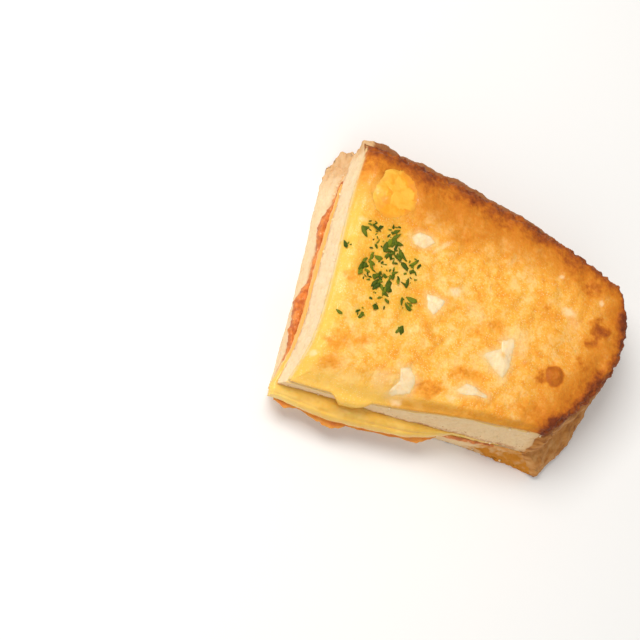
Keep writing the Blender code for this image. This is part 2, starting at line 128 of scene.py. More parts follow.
SEAM_FORWARD = 2.8 * MM
SEAM_FORWARD_START = 0.28
SEAM_LEFTWARD = 1.0 * MM
SEAM_LEFTWARD_FADE = (0.5, 0.85)
SEAM_REACH = 14 * MM

# The crust.
CRUST_BULGE = 1.9 * MM
CRUST_INSET = 0.9 * MM
CRUST_ROUNDING = 1.3 * MM
BASE_ROUNDING = 0.9 * MM
BASE_ROUNDING_SHARE = 0.25
CRUST_ROUNDING_REACH = 3.2 * MM
WALL_UNEVENNESS = 0.3 * MM
CRUST_UNEVENNESS = 0.9 * MM
ACROSS_WAVES = np.array((31.7, 11.3, 5.9))
WALL_GRAIN = 7 * MM

# The filling.
SAUCE_SHARES = (0.86, 0.87)
CHEESE_SHARES = (0.875, 0.855)
EDGE_SHARE = 0.05
FILLING_ROUNDING = 0.4 * MM
SAUCE_FRONT = 0.5 * MM
SAUCE_RAGGEDNESS = 0.6 * MM
SAUCE_WELLS = ((0.35, 0.11, 2.2 * MM), (0.24, 0.09, 1.3 * MM), (0.68, 0.13, 1.2 * MM))
LIP_LENGTH = 4.4 * MM
LIP_DROOP = 1.5 * MM
LIP_THICKENING = 0.9 * MM
LIP_END = 0.86
LIP_SHARE = 3 / 19
# Tips of sauce below the lip: share along the front cut, half width, length in millimetres,
# sharpness.
SMEAR_TIPS = (
    (0.04, 0.05, 1.2, 0.9), (0.235, 0.05, 1.5, 0.8), (0.17, 0.06, 0.8, 1.0),
    (0.34, 0.05, 0.2, 1.0), (0.57, 0.07, 1.1, 0.9), (0.46, 0.04, 0.25, 1.0),
)
SMEAR_END = 0.64  # how far along the front cut the sauce shows below the lip
SMEAR_RAGGEDNESS = 0.35 * MM
SMEAR_THICKNESS = (0.12, 0.55)  # at its tips and behind them, in millimetres
CHEESE_FOLDS = 0.16 * MM
CHEESE_GRAIN = 0.10 * MM
CORNER_FLARE = 0.8 * MM
FLARE_REACH = 9 * MM

# How many fields each mesh has along a, b and w; a layer that hangs out of the front cut has
# two counts along b, for what hangs out and for what lies inside.
BREAD_FIELDS = (288, 232, 30)
SAUCE_FIELDS = ((16, 84), 240, 10)
SAUCE_FINE_SHARE = 0.06  # the share along a that the first count of the sauce's fields covers
SMEAR_FIELDS = (200, 24)
CHEESE_FIELDS = (240, (40, 144), 10)
TOPPING_FIELDS = (288, (48, 240), 5)
CAP_STEP = 4  # how many fields of a wall meet one field of a hidden face
EGG_RINGS = 22
EGG_SPOKES = 110

# Relief of the bread and of the topping on it.
TORN_HEIGHT = 0.35 * MM
NIBBLE_HEIGHT = 0.9 * MM
CRUMB_WAVES = 0.12 * MM
CRUMB_GRAIN = 0.07 * MM
CRUST_START = 0.6 * MM  # how far the crust reaches into the face of a cut
CRUST_START_RAGGEDNESS = 0.7 * MM
TOPPING_SUNK = GAP * 1.15  # how much closer to the bread than the solid its underside lies
TOPPING_GRAIN = 0.05 * MM

# Where the topping has run over the front cut.
DRIP_PLACE = 17.8 * MM
DRIP_HALF_WIDTH = 5.6 * MM
DRIP_LENGTH = 3.9 * MM
DRIP_BEND = 1.2 * MM
EDGE_LENGTH = 0.35 * MM
EDGE_BACK = 0.4 * MM
EDGE_THINNING = 0.5
DRIP_FULLNESS = 0.25
DRIP_SHARE = 4 / 21

# Egg in the topping, in millimetres on the plan: name, outline, how far it stands proud.
EGG_WHITES = (
    ("egg_white_1", ((45.9, 14.7), (49.0, 16.3), (51.6, 17.4), (51.0, 19.5), (54.8, 20.7),
                     (55.1, 19.0), (54.6, 15.8), (54.3, 13.0), (52.3, 9.3), (50.2, 10.8)), 0.34),
    ("egg_white_2", ((26.2, 8.4), (29.2, 8.8), (31.2, 5.6), (30.6, 2.6), (26.4, 1.6),
                     (24.9, 2.2), (27.0, 5.0)), 0.34),
    ("egg_white_3", ((25.7, 39.4), (27.6, 41.0), (31.0, 40.5), (32.4, 39.1), (29.6, 37.0),
                     (26.7, 37.6)), 0.34),
    ("egg_white_4", ((31.0, 26.8), (33.4, 26.6), (36.2, 25.7), (35.2, 23.4), (33.2, 21.5),
                     (31.7, 22.9)), 0.32),
    ("egg_white_5", ((40.6, 5.4), (43.2, 7.4), (45.6, 7.2), (47.2, 6.0), (49.4, 5.4),
                     (49.0, 4.3), (46.5, 4.7), (42.7, 4.2), (41.2, 4.4)), 0.30),
)
EGG_YOLK = ("egg_yolk", (20.2, 48.9), 6.6, 0.30)
EGG_HIDDEN_RIM = 1.12  # how much larger each piece is than what shows of it
EGG_SUNK = -0.20 * MM  # the height of its hidden rim over the plain topping
EGG_DEPTH = 0.65 * MM
EGG_GRAIN = 0.09 * MM
EGG_FACETS = 0.12 * MM
YOLK_COVER_WAY = (0.8, -0.3)  # away from the side of the yolk that the topping covers
YOLK_COVER_REACH = 5 * MM
YOLK_COVER_FALL = 1.7

# Patches on the topping, in millimetres on the plan: place, half widths, turn in degrees, strength.
BROWN_PATCHES = (
    ((65.6, 13.0), (3.1, 2.8), 0, 0.50),
    ((61.9, 11.4), (2.0, 1.8), 0, 0.66),
    ((29.2, 53.7), (5.0, 3.4), -10, 0.30),
    ((48.6, 47.8), (3.8, 2.4), -20, 0.62),
    ((55.9, 45.2), (3.6, 1.8), -20, 0.60),
    ((35.0, 52.3), (4.2, 2.2), 0, 0.30),
    ((44.0, 45.3), (1.8, 1.6), 0, 0.36),
    ((39.4, 42.1), (3.6, 2.2), 10, 0.26),
    ((70.8, 39.8), (3.0, 2.2), 0, 0.50),
    ((73.5, 36.6), (3.4, 2.6), -30, 0.55),
    ((76.4, 26.0), (3.6, 2.6), 60, 0.75),
    ((74.4, 22.6), (2.6, 1.9), 20, 0.62),
    ((73.2, 17.6), (3.0, 2.2), 50, 0.45),
    ((62.2, 29.4), (1.4, 1.2), 0, 0.30),
    ((49.6, 22.2), (2.4, 1.8), 0, 0.28),
    ((44.8, 20.0), (2.2, 1.6), 0, 0.24),
    ((60.8, 3.6), (5.0, 2.4), 0, 0.30),
    ((66.4, 2.6), (3.6, 1.5), 25, 0.75),
    ((34.1, 4.6), (4.6, 2.4), 10, 0.30),
    ((42.8, 9.4), (4.6, 1.8), 0, 0.26),
    ((12.1, 27.0), (2.2, 1.8), 0, 0.24),
    ((10.3, 11.6), (3.6, 2.4), 10, 0.25),
    ((10.4, 6.6), (3.0, 2.2), 0, 0.22),
    ((16.4, 12.8), (3.2, 1.8), 25, 0.22),
    ((27.5, 46.0), (1.6, 3.0), 0, 0.22),
)
PALE_PATCHES = (
    ((38.0, 28.2), (1.9, 1.2), 10, 0.85),
    ((68.2, 29.0), (1.7, 1.3), 0, 0.70),
    ((69.7, 26.8), (2.0, 2.4), 20, 0.18),
    ((65.2, 37.2), (0.7, 0.5), 0, 0.75),
    ((76.3, 32.9), (0.6, 0.8), 0, 0.65),
    ((5.6, 8.0), (0.8, 0.7), 0, 0.75),
    ((20.0, 44.6), (1.3, 1.1), 0, 0.55),
    ((13.3, 41.2), (1.0, 0.7), 0, 0.40),
    ((33.6, 38.2), (3.2, 0.6), 38, 0.45),
    ((28.2, 0.8), (1.2, 0.8), 0, 0.80),
    ((23.0, 5.0), (2.4, 2.8), 0, 0.30),
    ((40.4, 3.2), (1.4, 0.8), 10, 0.55),
    ((56.5, 18.5), (1.4, 3.8), 10, 0.30),
    ((44.0, 24.5), (3.4, 2.0), -30, 0.22),
)
# Browning along the crusts: strength, start and reach in millimetres, and sharpness.
FAR_BROWNING = (0.88, 0.8, 5.6, 1.6)
RIGHT_BROWNING = (1.02, 1.6, 4.4, 1.4)

# Single spots on the topping: place, radius in millimetres and height.
BUBBLE_PLACE, BUBBLE_RADIUS, BUBBLE_HEIGHT = (65.6, 13.0), 2.5, 0.72 * MM
RING_PLACE, RING_RADIUS, RING_HEIGHT = (48.1, 31.1), 1.35, 0.22 * MM
RIM_LUMP_PLACE, RIM_LUMP_RADIUS, RIM_LUMP_HEIGHT = (68.4, 45.6), 1.9, 0.8 * MM

# Parsley: patches of flakes as centre, half widths, turn in degrees and number of flakes.
PARSLEY_PATCHES = (
    ((15.5, 39.0), (2.5, 2.5), 0, 4),
    ((21.5, 39.0), (1.6, 3.0), 0, 4),
    ((19.5, 35.0), (4.5, 2.0), 0, 6),
    ((25.0, 31.5), (4.0, 4.0), 0, 9),
    ((18.0, 29.5), (4.5, 3.5), 0, 12),
    ((19.5, 24.0), (2.6, 4.0), 0, 6),
    ((15.3, 18.8), (1.2, 1.4), 0, 3),
    ((26.3, 22.8), (1.8, 2.0), 0, 3),
    ((10.1, 18.2), (0.5, 0.5), 0, 1),
    ((25.3, 16.8), (0.5, 0.5), 0, 1),
    ((10.7, 34.5), (0.5, 0.5), 0, 1),
)
CUT_FLAKES = (0.19, 0.23, 0.36, 0.55)  # places of single flakes along the left cut, as shares
LEAF_KINDS = 6
CRUMB_KINDS = 4
# Room round a flake, and its least and greatest length, in millimetres.
BIG_FLAKES = (0.60, 1.4, 3.2)
SMALL_FLAKES = (0.40, 0.4, 1.2)


# The stage.
FLOOR_REACH = 1.5
FLOOR_CLEARANCE = 0.02 * MM
LAMP_AIM_HEIGHT = 0.012
CAMERA_AIM = (-39.726, -14.195, 27.701)  # in millimetres
CAMERA_TURNS = (-54.782, 65.4, -63.476)  # azimuth, elevation and roll in degrees


# ---------------------------------------------------------------- numbers for every point at once


def smooth(value):
    """0 below 0, 1 above 1, and a smooth step between."""
    value = np.clip(value, 0, 1)
    return value * value * (3 - 2 * value)


def hump(distance):
    """1 at 0, falling smoothly to 0 at -1 and 1."""
    return 1 - smooth(np.abs(distance))


def mixed(first, second, share):
    return first + (second - first) * share


def at_start(share):
    return share < 1e-6


def at_end(share):
    return share > 1 - 1e-6


def width_mm(u):
    """How many millimetres a share of the plan's width is."""
    return u * PLAN_WIDTH / MM


def depth_mm(v):
    """How many millimetres a share of the plan's depth is."""
    return v * PLAN_DEPTH / MM


def scrambled(cell, seed):
    """A steady, random-looking number from 0 to 1 for each whole-numbered cell."""
    x, y, z = (cell[:, axis].astype(np.int64).astype(np.uint32) for axis in range(3))
    value = x * np.uint32(73856093) ^ y * np.uint32(19349663) ^ z * np.uint32(83492791)
    value = value ^ np.uint32(seed * 40503 + 977)
    for shift, factor in ((16, 0x7FEB352D), (15, 0x846CA68B)):
        value = (value ^ (value >> np.uint32(shift))) * np.uint32(factor)
    return (value ^ (value >> np.uint32(16))).astype(float) / 0xFFFFFFFF


def ripple(points, size, seed=0):
    """Smooth noise from about -1 to 1, with waves about size wide."""
    scaled = points / size
    cell = np.floor(scaled)
    inside = scaled - cell
    fade = inside**3 * (inside * (inside * 6 - 15) + 10)
    total = np.zeros(len(points))
    for corner in np.ndindex(2, 2, 2):
        weight = np.prod(np.where(np.array(corner, bool), fade, 1 - fade), axis=1)
        for axis in range(3):
            slope = scrambled(cell + corner, seed * 3 + axis) * 2 - 1
            total += weight * slope * (inside[:, axis] - corner[axis])
    return total * 1.8


def rough(points, size, seed=0, octaves=3, fall=0.5):
    """Ripples on ripples, each half as wide and fall times as high as the last."""
    return sum(fall**i * ripple(points, size / 2**i, seed + 11 * i) for i in range(octaves))


def cells(points, size, seed=0):
    """Distance to the nearest of many scattered spots, in spacings, and that spot's own number."""
    scaled = points / size
    cell = np.floor(scaled)
    nearest = np.full(len(points), 9.0)
    own = np.zeros(len(points))
    for step in np.ndindex(3, 3, 3):
        there = cell + step - 1
        spot = there + np.stack([scrambled(there, seed + axis) for axis in range(3)], axis=1)
        away = np.linalg.norm(spot - scaled, axis=1)
        closer = away < nearest
        nearest[closer] = away[closer]
        own[closer] = scrambled(there[closer], seed + 7)
    return nearest, own


def patch_share(spots, patches, waver=0.22, size=2.2):
    """The strongest of some soft, wavering patches at each spot of the plan."""
    flat = np.column_stack([spots, np.zeros(len(spots))])
    wobble = rough(flat, size * MM, 31) * waver
    total = np.zeros(len(spots))
    for (x, y), (half_x, half_y), turn, strength in patches:
        angle = math.radians(turn)
        away = spots / MM - (x, y)
        along = (away[:, 0] * math.cos(angle) + away[:, 1] * math.sin(angle)) / half_x
        across = (away[:, 1] * math.cos(angle) - away[:, 0] * math.sin(angle)) / half_y
        reach = np.hypot(along, across) + wobble
        total = np.maximum(total, strength * (1 - smooth((reach - 0.25) / 1.15)))
    return total


def outline_distance(spots, outline):
    """Distance inside an outline given in millimetres, in metres; less than 0 outside it."""
    points = np.array(outline, float) * MM
    nearest = np.full(len(spots), 9.0)
    inside = np.zeros(len(spots), bool)
    for start, end in zip(points, np.roll(points, -1, axis=0)):
        side = end - start
        share = np.clip(((spots - start) @ side) / (side @ side), 0, 1)
        nearest = np.minimum(nearest, np.linalg.norm(spots - start - share[:, None] * side, axis=1))
        rising = (start[1] > spots[:, 1]) != (end[1] > spots[:, 1])
        height = end[1] - start[1] or 1e-12
        inside ^= rising & (spots[:, 0] < start[0] + side[0] * (spots[:, 1] - start[1]) / height)
    return np.where(inside, nearest, -nearest)


# ------------------------------------------------------------------------- the shape of the toast


def bowed(start, end, bows):
    """The curve of a cut, which the two bows push aside."""
    return start, mixed(start, end, 1 / 3) + bows[0], mixed(start, end, 2 / 3) + bows[1], end


def slice_plan(ends, bows):
    """The four curves round a slice: front cut, far crust, left cut and right crust."""
    near, front_end, left_end, shoulder = ends
    left_bows, front_bows = bows
    front = bowed(near, front_end, front_bows)
    far = (left_end, left_end + FAR_START_HANDLE, shoulder + FAR_END_HANDLE, shoulder)
    left = bowed(near, left_end, left_bows)
    right = (front_end, front_end + SIDE_START_HANDLE, shoulder + SIDE_END_HANDLE, shoulder)
    return front, far, left, right


UPPER_PLAN = slice_plan(UPPER_ENDS, UPPER_BOWS)
LOWER_PLAN = slice_plan(LOWER_ENDS, LOWER_BOWS)


def cubic(curve, t):
    a, b, c, d = curve
    t = np.asarray(t)[:, None]
    s = 1 - t
    return a * s**3 + b * (3 * s * s * t) + c * (3 * s * t * t) + d * t**3


def place(plan, u, v):
    """The plan's points at u, from the left cut to the right crust, and v, from front to far."""
    front, far, left, right = plan
    edges = cubic(front, u) * (1 - v)[:, None] + cubic(far, u) * v[:, None]
    edges += cubic(left, v) * (1 - u)[:, None] + cubic(right, v) * u[:, None]
    corners = front[0] * ((1 - u) * (1 - v))[:, None] + front[3] * (u * (1 - v))[:, None]
    corners += far[0] * ((1 - u) * v)[:, None] + far[3] * (u * v)[:, None]
    return edges - corners


def to_crust_edge(u, v):
    return np.minimum((1 - u) * PLAN_WIDTH, (1 - v) * PLAN_DEPTH)


def to_cut_edge(u, v):
    return np.minimum(u * PLAN_WIDTH, v * PLAN_DEPTH)


def crust_distance(spot):
    """Rough distance from a place to the nearer of the two crusts."""
    to_far = FAR_CRUST_AT - spot @ FAR_CRUST_FACING
    to_right = RIGHT_CRUST_AT - spot @ RIGHT_CRUST_FACING
    blend = CRUST_CORNER_BLEND
    return -blend * np.log(np.exp(-to_far / blend) + np.exp(-to_right / blend))


def filling_share(spot):
    return smooth(crust_distance(spot) / FILLING_MARGIN)


def lower_top(spot):
    """Height of the lower slice's upper face."""
    full = SEAM_HEIGHT - LOWER_HOLLOW * filling_share(spot)
    near = np.exp(-((np.linalg.norm(spot, axis=1) / SQUEEZE_REACH) ** 2))
    return full * (1 - SQUEEZE_SHARE * near)


def sauce_top(spot):
    return lower_top(spot) + GAP + SAUCE_THICKNESS * filling_share(spot)


def cheese_top(spot):
    return sauce_top(spot) + GAP + CHEESE_THICKNESS * filling_share(spot)


def upper_bottom(spot):
    """Height of the upper slice's lower face."""
    layers = smooth(crust_distance(spot) / LAYER_MARGIN)
    filling = (SAUCE_THICKNESS + CHEESE_THICKNESS) * filling_share(spot)
    return lower_top(spot) + GAP * (1 + 2 * layers) + filling


def upper_top(u, v):
    """Height of the upper slice's upper face, with its front edge rolled over on the left."""
    spot = place(UPPER_PLAN, u, v)
    thickness = UPPER_THICKNESS - UPPER_SQUEEZE * filling_share(spot)
    along = (u * PLAN_WIDTH - FRONT_FALL_START) / (FRONT_FALL_END - FRONT_FALL_START)
    rolled = (1 - smooth(along)) * (1 - smooth(v * PLAN_DEPTH / FRONT_FALL_REACH))
    cut_fall = CUT_ROUNDING * (1 - smooth(to_cut_edge(u, v) / CUT_ROUNDING_REACH))
    crust_fall = CRUST_ROUNDING * (1 - smooth(to_crust_edge(u, v) / CRUST_ROUNDING_REACH))
    return upper_bottom(spot) + thickness - FRONT_FALL * rolled - cut_fall - crust_fall


def topping_thickness(u, v):
    """How thick the bubbly topping is, thinner at its rim."""
    spot = place(UPPER_PLAN, u, v) / BUMP_SIZE
    bumps = np.array([
        noise.noise((x, y, 0.0)) + 0.5 * noise.noise((x * 2.3, y * 2.3, 0.0)) for x, y in spot
    ])
    rim = smooth(np.minimum(to_cut_edge(u, v), to_crust_edge(u, v)) / CRUST_ROUNDING_REACH)
    return TOPPING_THICKNESS * (0.55 + 0.45 * rim) + TOPPING_BUMPS * bumps * (0.3 + 0.7 * rim)


def spread(t):
    """Moves even steps from 0 to 1 closer together at both ends."""
    return 0.55 * t + 0.45 * (0.5 - 0.5 * np.cos(math.pi * t))


def plain(count):
    """Equal steps from 0 to 1."""
    return np.linspace(0, 1, count + 1)


def even(count):
    """Steps from 0 to 1 that lie evenly once spread has moved them."""
    t = np.linspace(0, 1, 400)
    return np.interp(plain(count), spread(t), t)


def hanging_steps(share, outside, inside):
    """Steps along b for a layer of which a share hangs out of the front cut."""
    return np.concatenate([
        np.linspace(0, share, outside + 1), mixed(share, 1, even(inside)[1:]),
    ])


def hanging(b, share):
    """Splits b: the share that lies inside, and the share that hangs out of the front cut."""
    return np.maximum(0, (b - share) / (1 - share)), np.maximum(0, (share - b) / share)


def wall_place(plan, u, v, w):
    """A slice's plan points, with the crust bulging at mid height."""
    swell = CRUST_BULGE * np.sin(math.pi * w) - CRUST_INSET * (2 * w - 1) ** 2
    u = np.where(u > 0.999, 1 + swell / PLAN_WIDTH, u)
    v = np.where(v > 0.999, 1 + swell / PLAN_DEPTH, v)
    return place(plan, u, v)


def seam_shift(u, v):
    """How far the seam lies out from the upper slice's upper face, beside the cuts."""
    near_front = 1 - smooth(v * PLAN_DEPTH / SEAM_REACH)
    near_left = 1 - smooth(u * PLAN_WIDTH / SEAM_REACH)
    along = np.clip((u - SEAM_FORWARD_START) / (1 - SEAM_FORWARD_START), 0, 1)
    start, end = SEAM_LEFTWARD_FADE
    leftward = SEAM_LEFTWARD * (1 - smooth((v - start) / (end - start)))
    return np.column_stack([-leftward * near_left, -SEAM_FORWARD * along**0.75 * near_front])


def uneven(spot, z, to_crust):
    """Points of a slice, shifted sideways so that its cuts look torn and its crust knobbly."""
    points = np.column_stack([spot, z])
    knobbly = 1 - smooth(to_crust / CRUST_ROUNDING_REACH)
    amount = mixed(WALL_UNEVENNESS, CRUST_UNEVENNESS, knobbly)
    waves = points / WALL_GRAIN
    pairs = zip(waves, waves + ACROSS_WAVES)
    shift = np.array([(noise.noise(along), noise.noise(across), 0.0) for along, across in pairs])
    return points + shift * amount[:, None]


def lower_slice(a, b, w):
    """The lower slice, whose walls spread from the seam's plan to its own."""
    u, v = spread(a), spread(b)
    seam = wall_place(UPPER_PLAN, u, v, w) + seam_shift(u, v)
    spot = mixed(wall_place(LOWER_PLAN, u, v, w), seam, smooth(w)[:, None])
    to_crust = to_crust_edge(u, v)
    base = BASE_ROUNDING * (1 - smooth(to_crust / CRUST_ROUNDING_REACH))
    z = lower_top(spot) * w + base * np.maximum(0, 1 - w / BASE_ROUNDING_SHARE)
    return uneven(spot, z, to_crust)


def upper_slice(a, b, w):
    """The upper slice, lying on the filling."""
    u, v = spread(a), spread(b)
    spot = wall_place(UPPER_PLAN, u, v, w) + seam_shift(u, v) * (1 - w)[:, None]
    bottom = upper_bottom(spot)
    z = bottom + (upper_top(u, v) - bottom) * w
    return uneven(spot, z, to_crust_edge(u, v))


def sauce_layer(a, b, w):
    """Sauce between the lower slice and the cheese, welling out of the left cut in places."""
    u, v = SAUCE_SHARES[0] * spread(a), SAUCE_SHARES[1] * spread(b)
    well = sum(height * hump((v - at) / reach) for at, reach, height in SAUCE_WELLS)
    left = 1 - smooth(a / EDGE_SHARE)
    front = 1 - smooth(b / EDGE_SHARE)
    rounding = FILLING_ROUNDING * (2 * w - 1) ** 2
    ragged = np.array([noise.noise((x * 14, y * 14, 3.0)) for x, y in zip(u, v)])
    spot = place(UPPER_PLAN, u, v) + seam_shift(u, v)
    spot[:, 0] -= left * (FILLING_ROUNDING / 2 + well - rounding)
    spot[:, 1] -= front * (SAUCE_FRONT + SAUCE_RAGGEDNESS * ragged - rounding)
    bottom = lower_top(spot) + GAP
    return np.column_stack([spot, bottom + (sauce_top(spot) - bottom) * w])


def lip_share(u):
    """How far the cheese hangs out at this place along the front cut, from 0 to 1."""
    start = 0.62 + 0.38 * smooth(u / 0.22)
    return start * (1 - smooth((u - 0.48) / (LIP_END - 0.48)))


def cheese_layer(a, b, w):
    """The slice of cheese, with a drooping lip at the front cut and a flared near corner."""
    inner, out = hanging(b, LIP_SHARE)
    u, v = CHEESE_SHARES[0] * spread(a), CHEESE_SHARES[1] * spread(inner)
    rounding = FILLING_ROUNDING * (2 * w - 1) ** 2
    share = lip_share(u)
    corner = 1 - smooth((u * PLAN_WIDTH + v * PLAN_DEPTH) / FLARE_REACH)
    left = 1 - smooth(a / EDGE_SHARE)
    tip = smooth((out - 0.55) / 0.45)
    length = np.maximum(0, share * LIP_LENGTH + seam_shift(u, u * 0)[:, 1])
    spot = place(UPPER_PLAN, u, v) + seam_shift(u, v)
    spot[:, 0] -= left * (FILLING_ROUNDING + CORNER_FLARE * corner - 1.5 * rounding)
    spot[:, 1] -= out * length - 1.75 * share * tip * rounding
    past_sauce = smooth((out - 0.3) / 0.7) * share
    droop = LIP_DROOP * past_sauce
    thicker = LIP_THICKENING * past_sauce
    bottom = sauce_top(spot) + GAP - droop - thicker * 0.6
    top = cheese_top(spot) - droop * 0.8 + thicker * 0.2
    return np.column_stack([spot, bottom + (top - bottom) * w])


def topping_layer(a, b, w, sunk=0.0):
    """The baked topping, whose front rows hang over the front cut and run down it as a drip.

    sunk is how much closer than the solid its underside comes to the bread.
    """
    inner, over = hanging(b, DRIP_SHARE)
    u, v = spread(a), spread(inner)
    rim = CRUST_INSET * (0.5 + 0.6 * w)
    u = u - rim / PLAN_WIDTH * (smooth((u - 0.9) / 0.1) - 0.7 * w * (1 - smooth(u / 0.1)))
    v = v - rim / PLAN_DEPTH * smooth((v - 0.9) / 0.1)
    from_drip = (place(UPPER_PLAN, u, v)[:, 0] - DRIP_PLACE) / DRIP_HALF_WIDTH
    run = np.clip(1.3 * hump(from_drip), 0, 1)
    back = EDGE_BACK * (1 - run) * (1 - smooth(v * PLAN_DEPTH / CUT_ROUNDING_REACH))
    v = v + back / PLAN_DEPTH
    spot = place(UPPER_PLAN, u, v)
    length = over * (EDGE_LENGTH + DRIP_LENGTH * run)
    turn = np.minimum(math.pi / 2, length / DRIP_BEND)
    down = np.maximum(0, length - DRIP_BEND * math.pi / 2)
    clear = GAP + WALL_UNEVENNESS * 0.6 * np.sin(turn)
    thinned = 1 - over * (EDGE_THINNING - DRIP_FULLNESS * run)
    layer = clear - sunk * (1 - w) + topping_thickness(u, v) * w * thinned
    spot[:, 1] -= layer * np.sin(turn)
    return np.column_stack([spot, upper_top(u, v) + layer * np.cos(turn) - down])


# ---------------------------------------------------------------------------- meshes


def block_cap(rows, steps, w, border, first, step):
    """One face of a block: its own points, and its faces as arrays of corners.

    rows are the counts of fields along a and b, border the numbers of the points round it, and
    step how many fields of the border go into one field of the face.
    """
    (na, nb), (a_steps, b_steps) = rows, steps
    if step == 1:
        grid = np.zeros((na + 1, nb + 1), int)
        for number, (i, j) in zip(border, border_walk(na, nb)):
            grid[i, j] = number
        grid[1:-1, 1:-1] = first + np.arange((na - 1) * (nb - 1)).reshape(na - 1, nb - 1)
        a, b = np.meshgrid(a_steps[1:-1], b_steps[1:-1], indexing="ij")
        joins = np.zeros((0, 3), int)
    else:
        a_own, b_own = a_steps[::step].copy(), b_steps[::step].copy()
        for own in (a_own, b_own):
            own[0], own[-1] = (own[0] + own[1]) / 2, (own[-1] + own[-2]) / 2
        ia, ib = len(a_own) - 1, len(b_own) - 1
        grid = first + np.arange((ia + 1) * (ib + 1)).reshape(ia + 1, ib + 1)
        a, b = np.meshgrid(a_own, b_own, indexing="ij")
        inner = [grid[i, j] for i, j in border_walk(ia, ib)]
        joins = []
        for m, corner in enumerate(inner):
            after = inner[(m + 1) % len(inner)]
            outer = [border[(m * step + q) % len(border)] for q in range(step + 1)]
            for q in range(step):
                joins.append((outer[q], outer[q + 1], corner if q < step / 2 else after))
            joins.append((outer[math.ceil(step / 2)], after, corner))
        joins = np.array(joins)
    points = np.column_stack([a.ravel(), b.ravel(), np.full(a.size, w)])
    fields = [grid[:-1, :-1], grid[1:, :-1], grid[1:, 1:], grid[:-1, 1:]]
    return points, np.column_stack([part.ravel() for part in fields]), joins


def border_walk(na, nb):
    """The places round a field of na by nb, anticlockwise from the near corner."""
    walk = [(i, 0) for i in range(na)] + [(na, j) for j in range(nb)]
    return walk + [(i, nb) for i in range(na, 0, -1)] + [(0, j) for j in range(nb, 0, -1)]


def block_net(a_steps, b_steps, w_steps, top_step=1, base_step=1):
    """A closed block's points, as shares along a, b and w, and its faces."""
    na, nb = len(a_steps) - 1, len(b_steps) - 1
    walk = border_walk(na, nb)
    round_plan = np.array([(a_steps[i], b_steps[j]) for i, j in walk])
    count = len(walk)
    points = [np.column_stack([round_plan, np.full(count, w)]) for w in w_steps]
    ring = np.arange(count)
    after = np.roll(ring, -1)
    quads = []
    for level in range(len(w_steps) - 1):
        low, high = level * count, (level + 1) * count
        quads.append(np.column_stack([low + ring, low + after, high + after, high + ring]))
    total = count * len(w_steps)
    top = ring + count * (len(w_steps) - 1)
    steps = (a_steps, b_steps)
    own, fields, joins = block_cap((na, nb), steps, w_steps[-1], top, total, top_step)
    points.append(own)
    quads.append(fields)
    triangles = [joins]
    total += len(own)
    own, fields, joins = block_cap((na, nb), steps, w_steps[0], ring, total, base_step)
    points.append(own)
    quads.append(fields[:, ::-1])
    triangles.append(joins[:, ::-1])
    return np.concatenate(points), [np.concatenate(quads), np.concatenate(triangles)]


def facing(points, faces):
    """Which way the surface faces at each point."""
    total = np.zeros_like(points)
    for group in faces:
        corners = points[group]
        push = np.cross(corners[:, 2] - corners[:, 0], corners[:, -1] - corners[:, 1])
        for column in range(group.shape[1]):
            for axis in range(3):
                total[:, axis] += np.bincount(group[:, column], push[:, axis], len(points))
    length = np.linalg.norm(total, axis=1)
    return total / np.maximum(length, 1e-12)[:, None]


def raised(points, faces, height):
    """The points, each moved out of the surface by its own height."""
    return points + facing(points, faces) * height[:, None]


def corner_lists(faces):
    return [corners for group in faces for corners in group.tolist()]


def added(name, data):
    """A new object in the scene, which shows the data."""
    made = bpy.data.objects.new(name, data)
    bpy.context.scene.collection.objects.link(made)
    return made


def new_piece(name, points, faces, finish, shares=None):
    """A smooth mesh object from points on the plan, with named shares on its points."""
    mesh = bpy.data.meshes.new(name)
    mesh.from_pydata((points - PLAN_MIDDLE).tolist(), [], corner_lists(faces))
    for title, values in (shares or {}).items():
        layer = mesh.attributes.new(title, "FLOAT", "POINT")
        layer.data.foreach_set("value", np.asarray(values, np.float32))
    mesh.shade_smooth()
    mesh.materials.append(finish)
    return added(name, mesh)


def stand_for(piece, slot, *nodes):
    """The piece rides on the toast and stands for the solids named; the slot is not used."""
    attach(piece, BODY)
    if nodes:
        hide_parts(*nodes)


def below(surface, x, y):
    """Where a surface lies at a place, seen from above, and which way it faces there."""
    hit, normal, _, _ = surface.ray_cast(Vector((x, y, HIGH_ABOVE)), Vector((0, 0, -1)))
    return hit, normal


# ---------------------------------------------------------------------------- finishes


class Sum:
    """A number from a node, so that sums and products of it add their own Math nodes."""

    def __init__(self, finish, socket):
        self.finish = finish
        self.socket = socket

    def _math(self, operation, first, second, clamp=False):
        made = self.finish.node(
            "ShaderNodeMath", {"operation": operation, "use_clamp": clamp}, {0: first, 1: second}
        )
        return Sum(self.finish, made.outputs[0])

    def __add__(self, other):
        return self._math("ADD", self, other)

    def __sub__(self, other):
        return self._math("SUBTRACT", self, other)

    def __rsub__(self, other):
        return self._math("SUBTRACT", other, self)

    def __mul__(self, other):
        return self._math("MULTIPLY", self, other)

    __radd__ = __add__
    __rmul__ = __mul__

    def above(self, start, end):
        """0 up to start, 1 from end on, and smooth between."""
        made = self.finish.node(
            "ShaderNodeMapRange", {"interpolation_type": "SMOOTHSTEP"},
            {"Value": self, "From Min": start, "From Max": end},
        )
        return Sum(self.finish, made.outputs["Result"])

    def held(self):
        """Kept from 0 to 1."""
        return self._math("ADD", self, 0.0, clamp=True)

    def shifted(self, grain, amount):
        """Raised and lowered by a grain that goes from 0 to 1."""
        return self + (grain - 0.5) * amount

    def stirred(self, grain, amount):
        """Raised and lowered by a grain, the more the larger the number is."""
        return self + (grain - 0.5) * amount * self


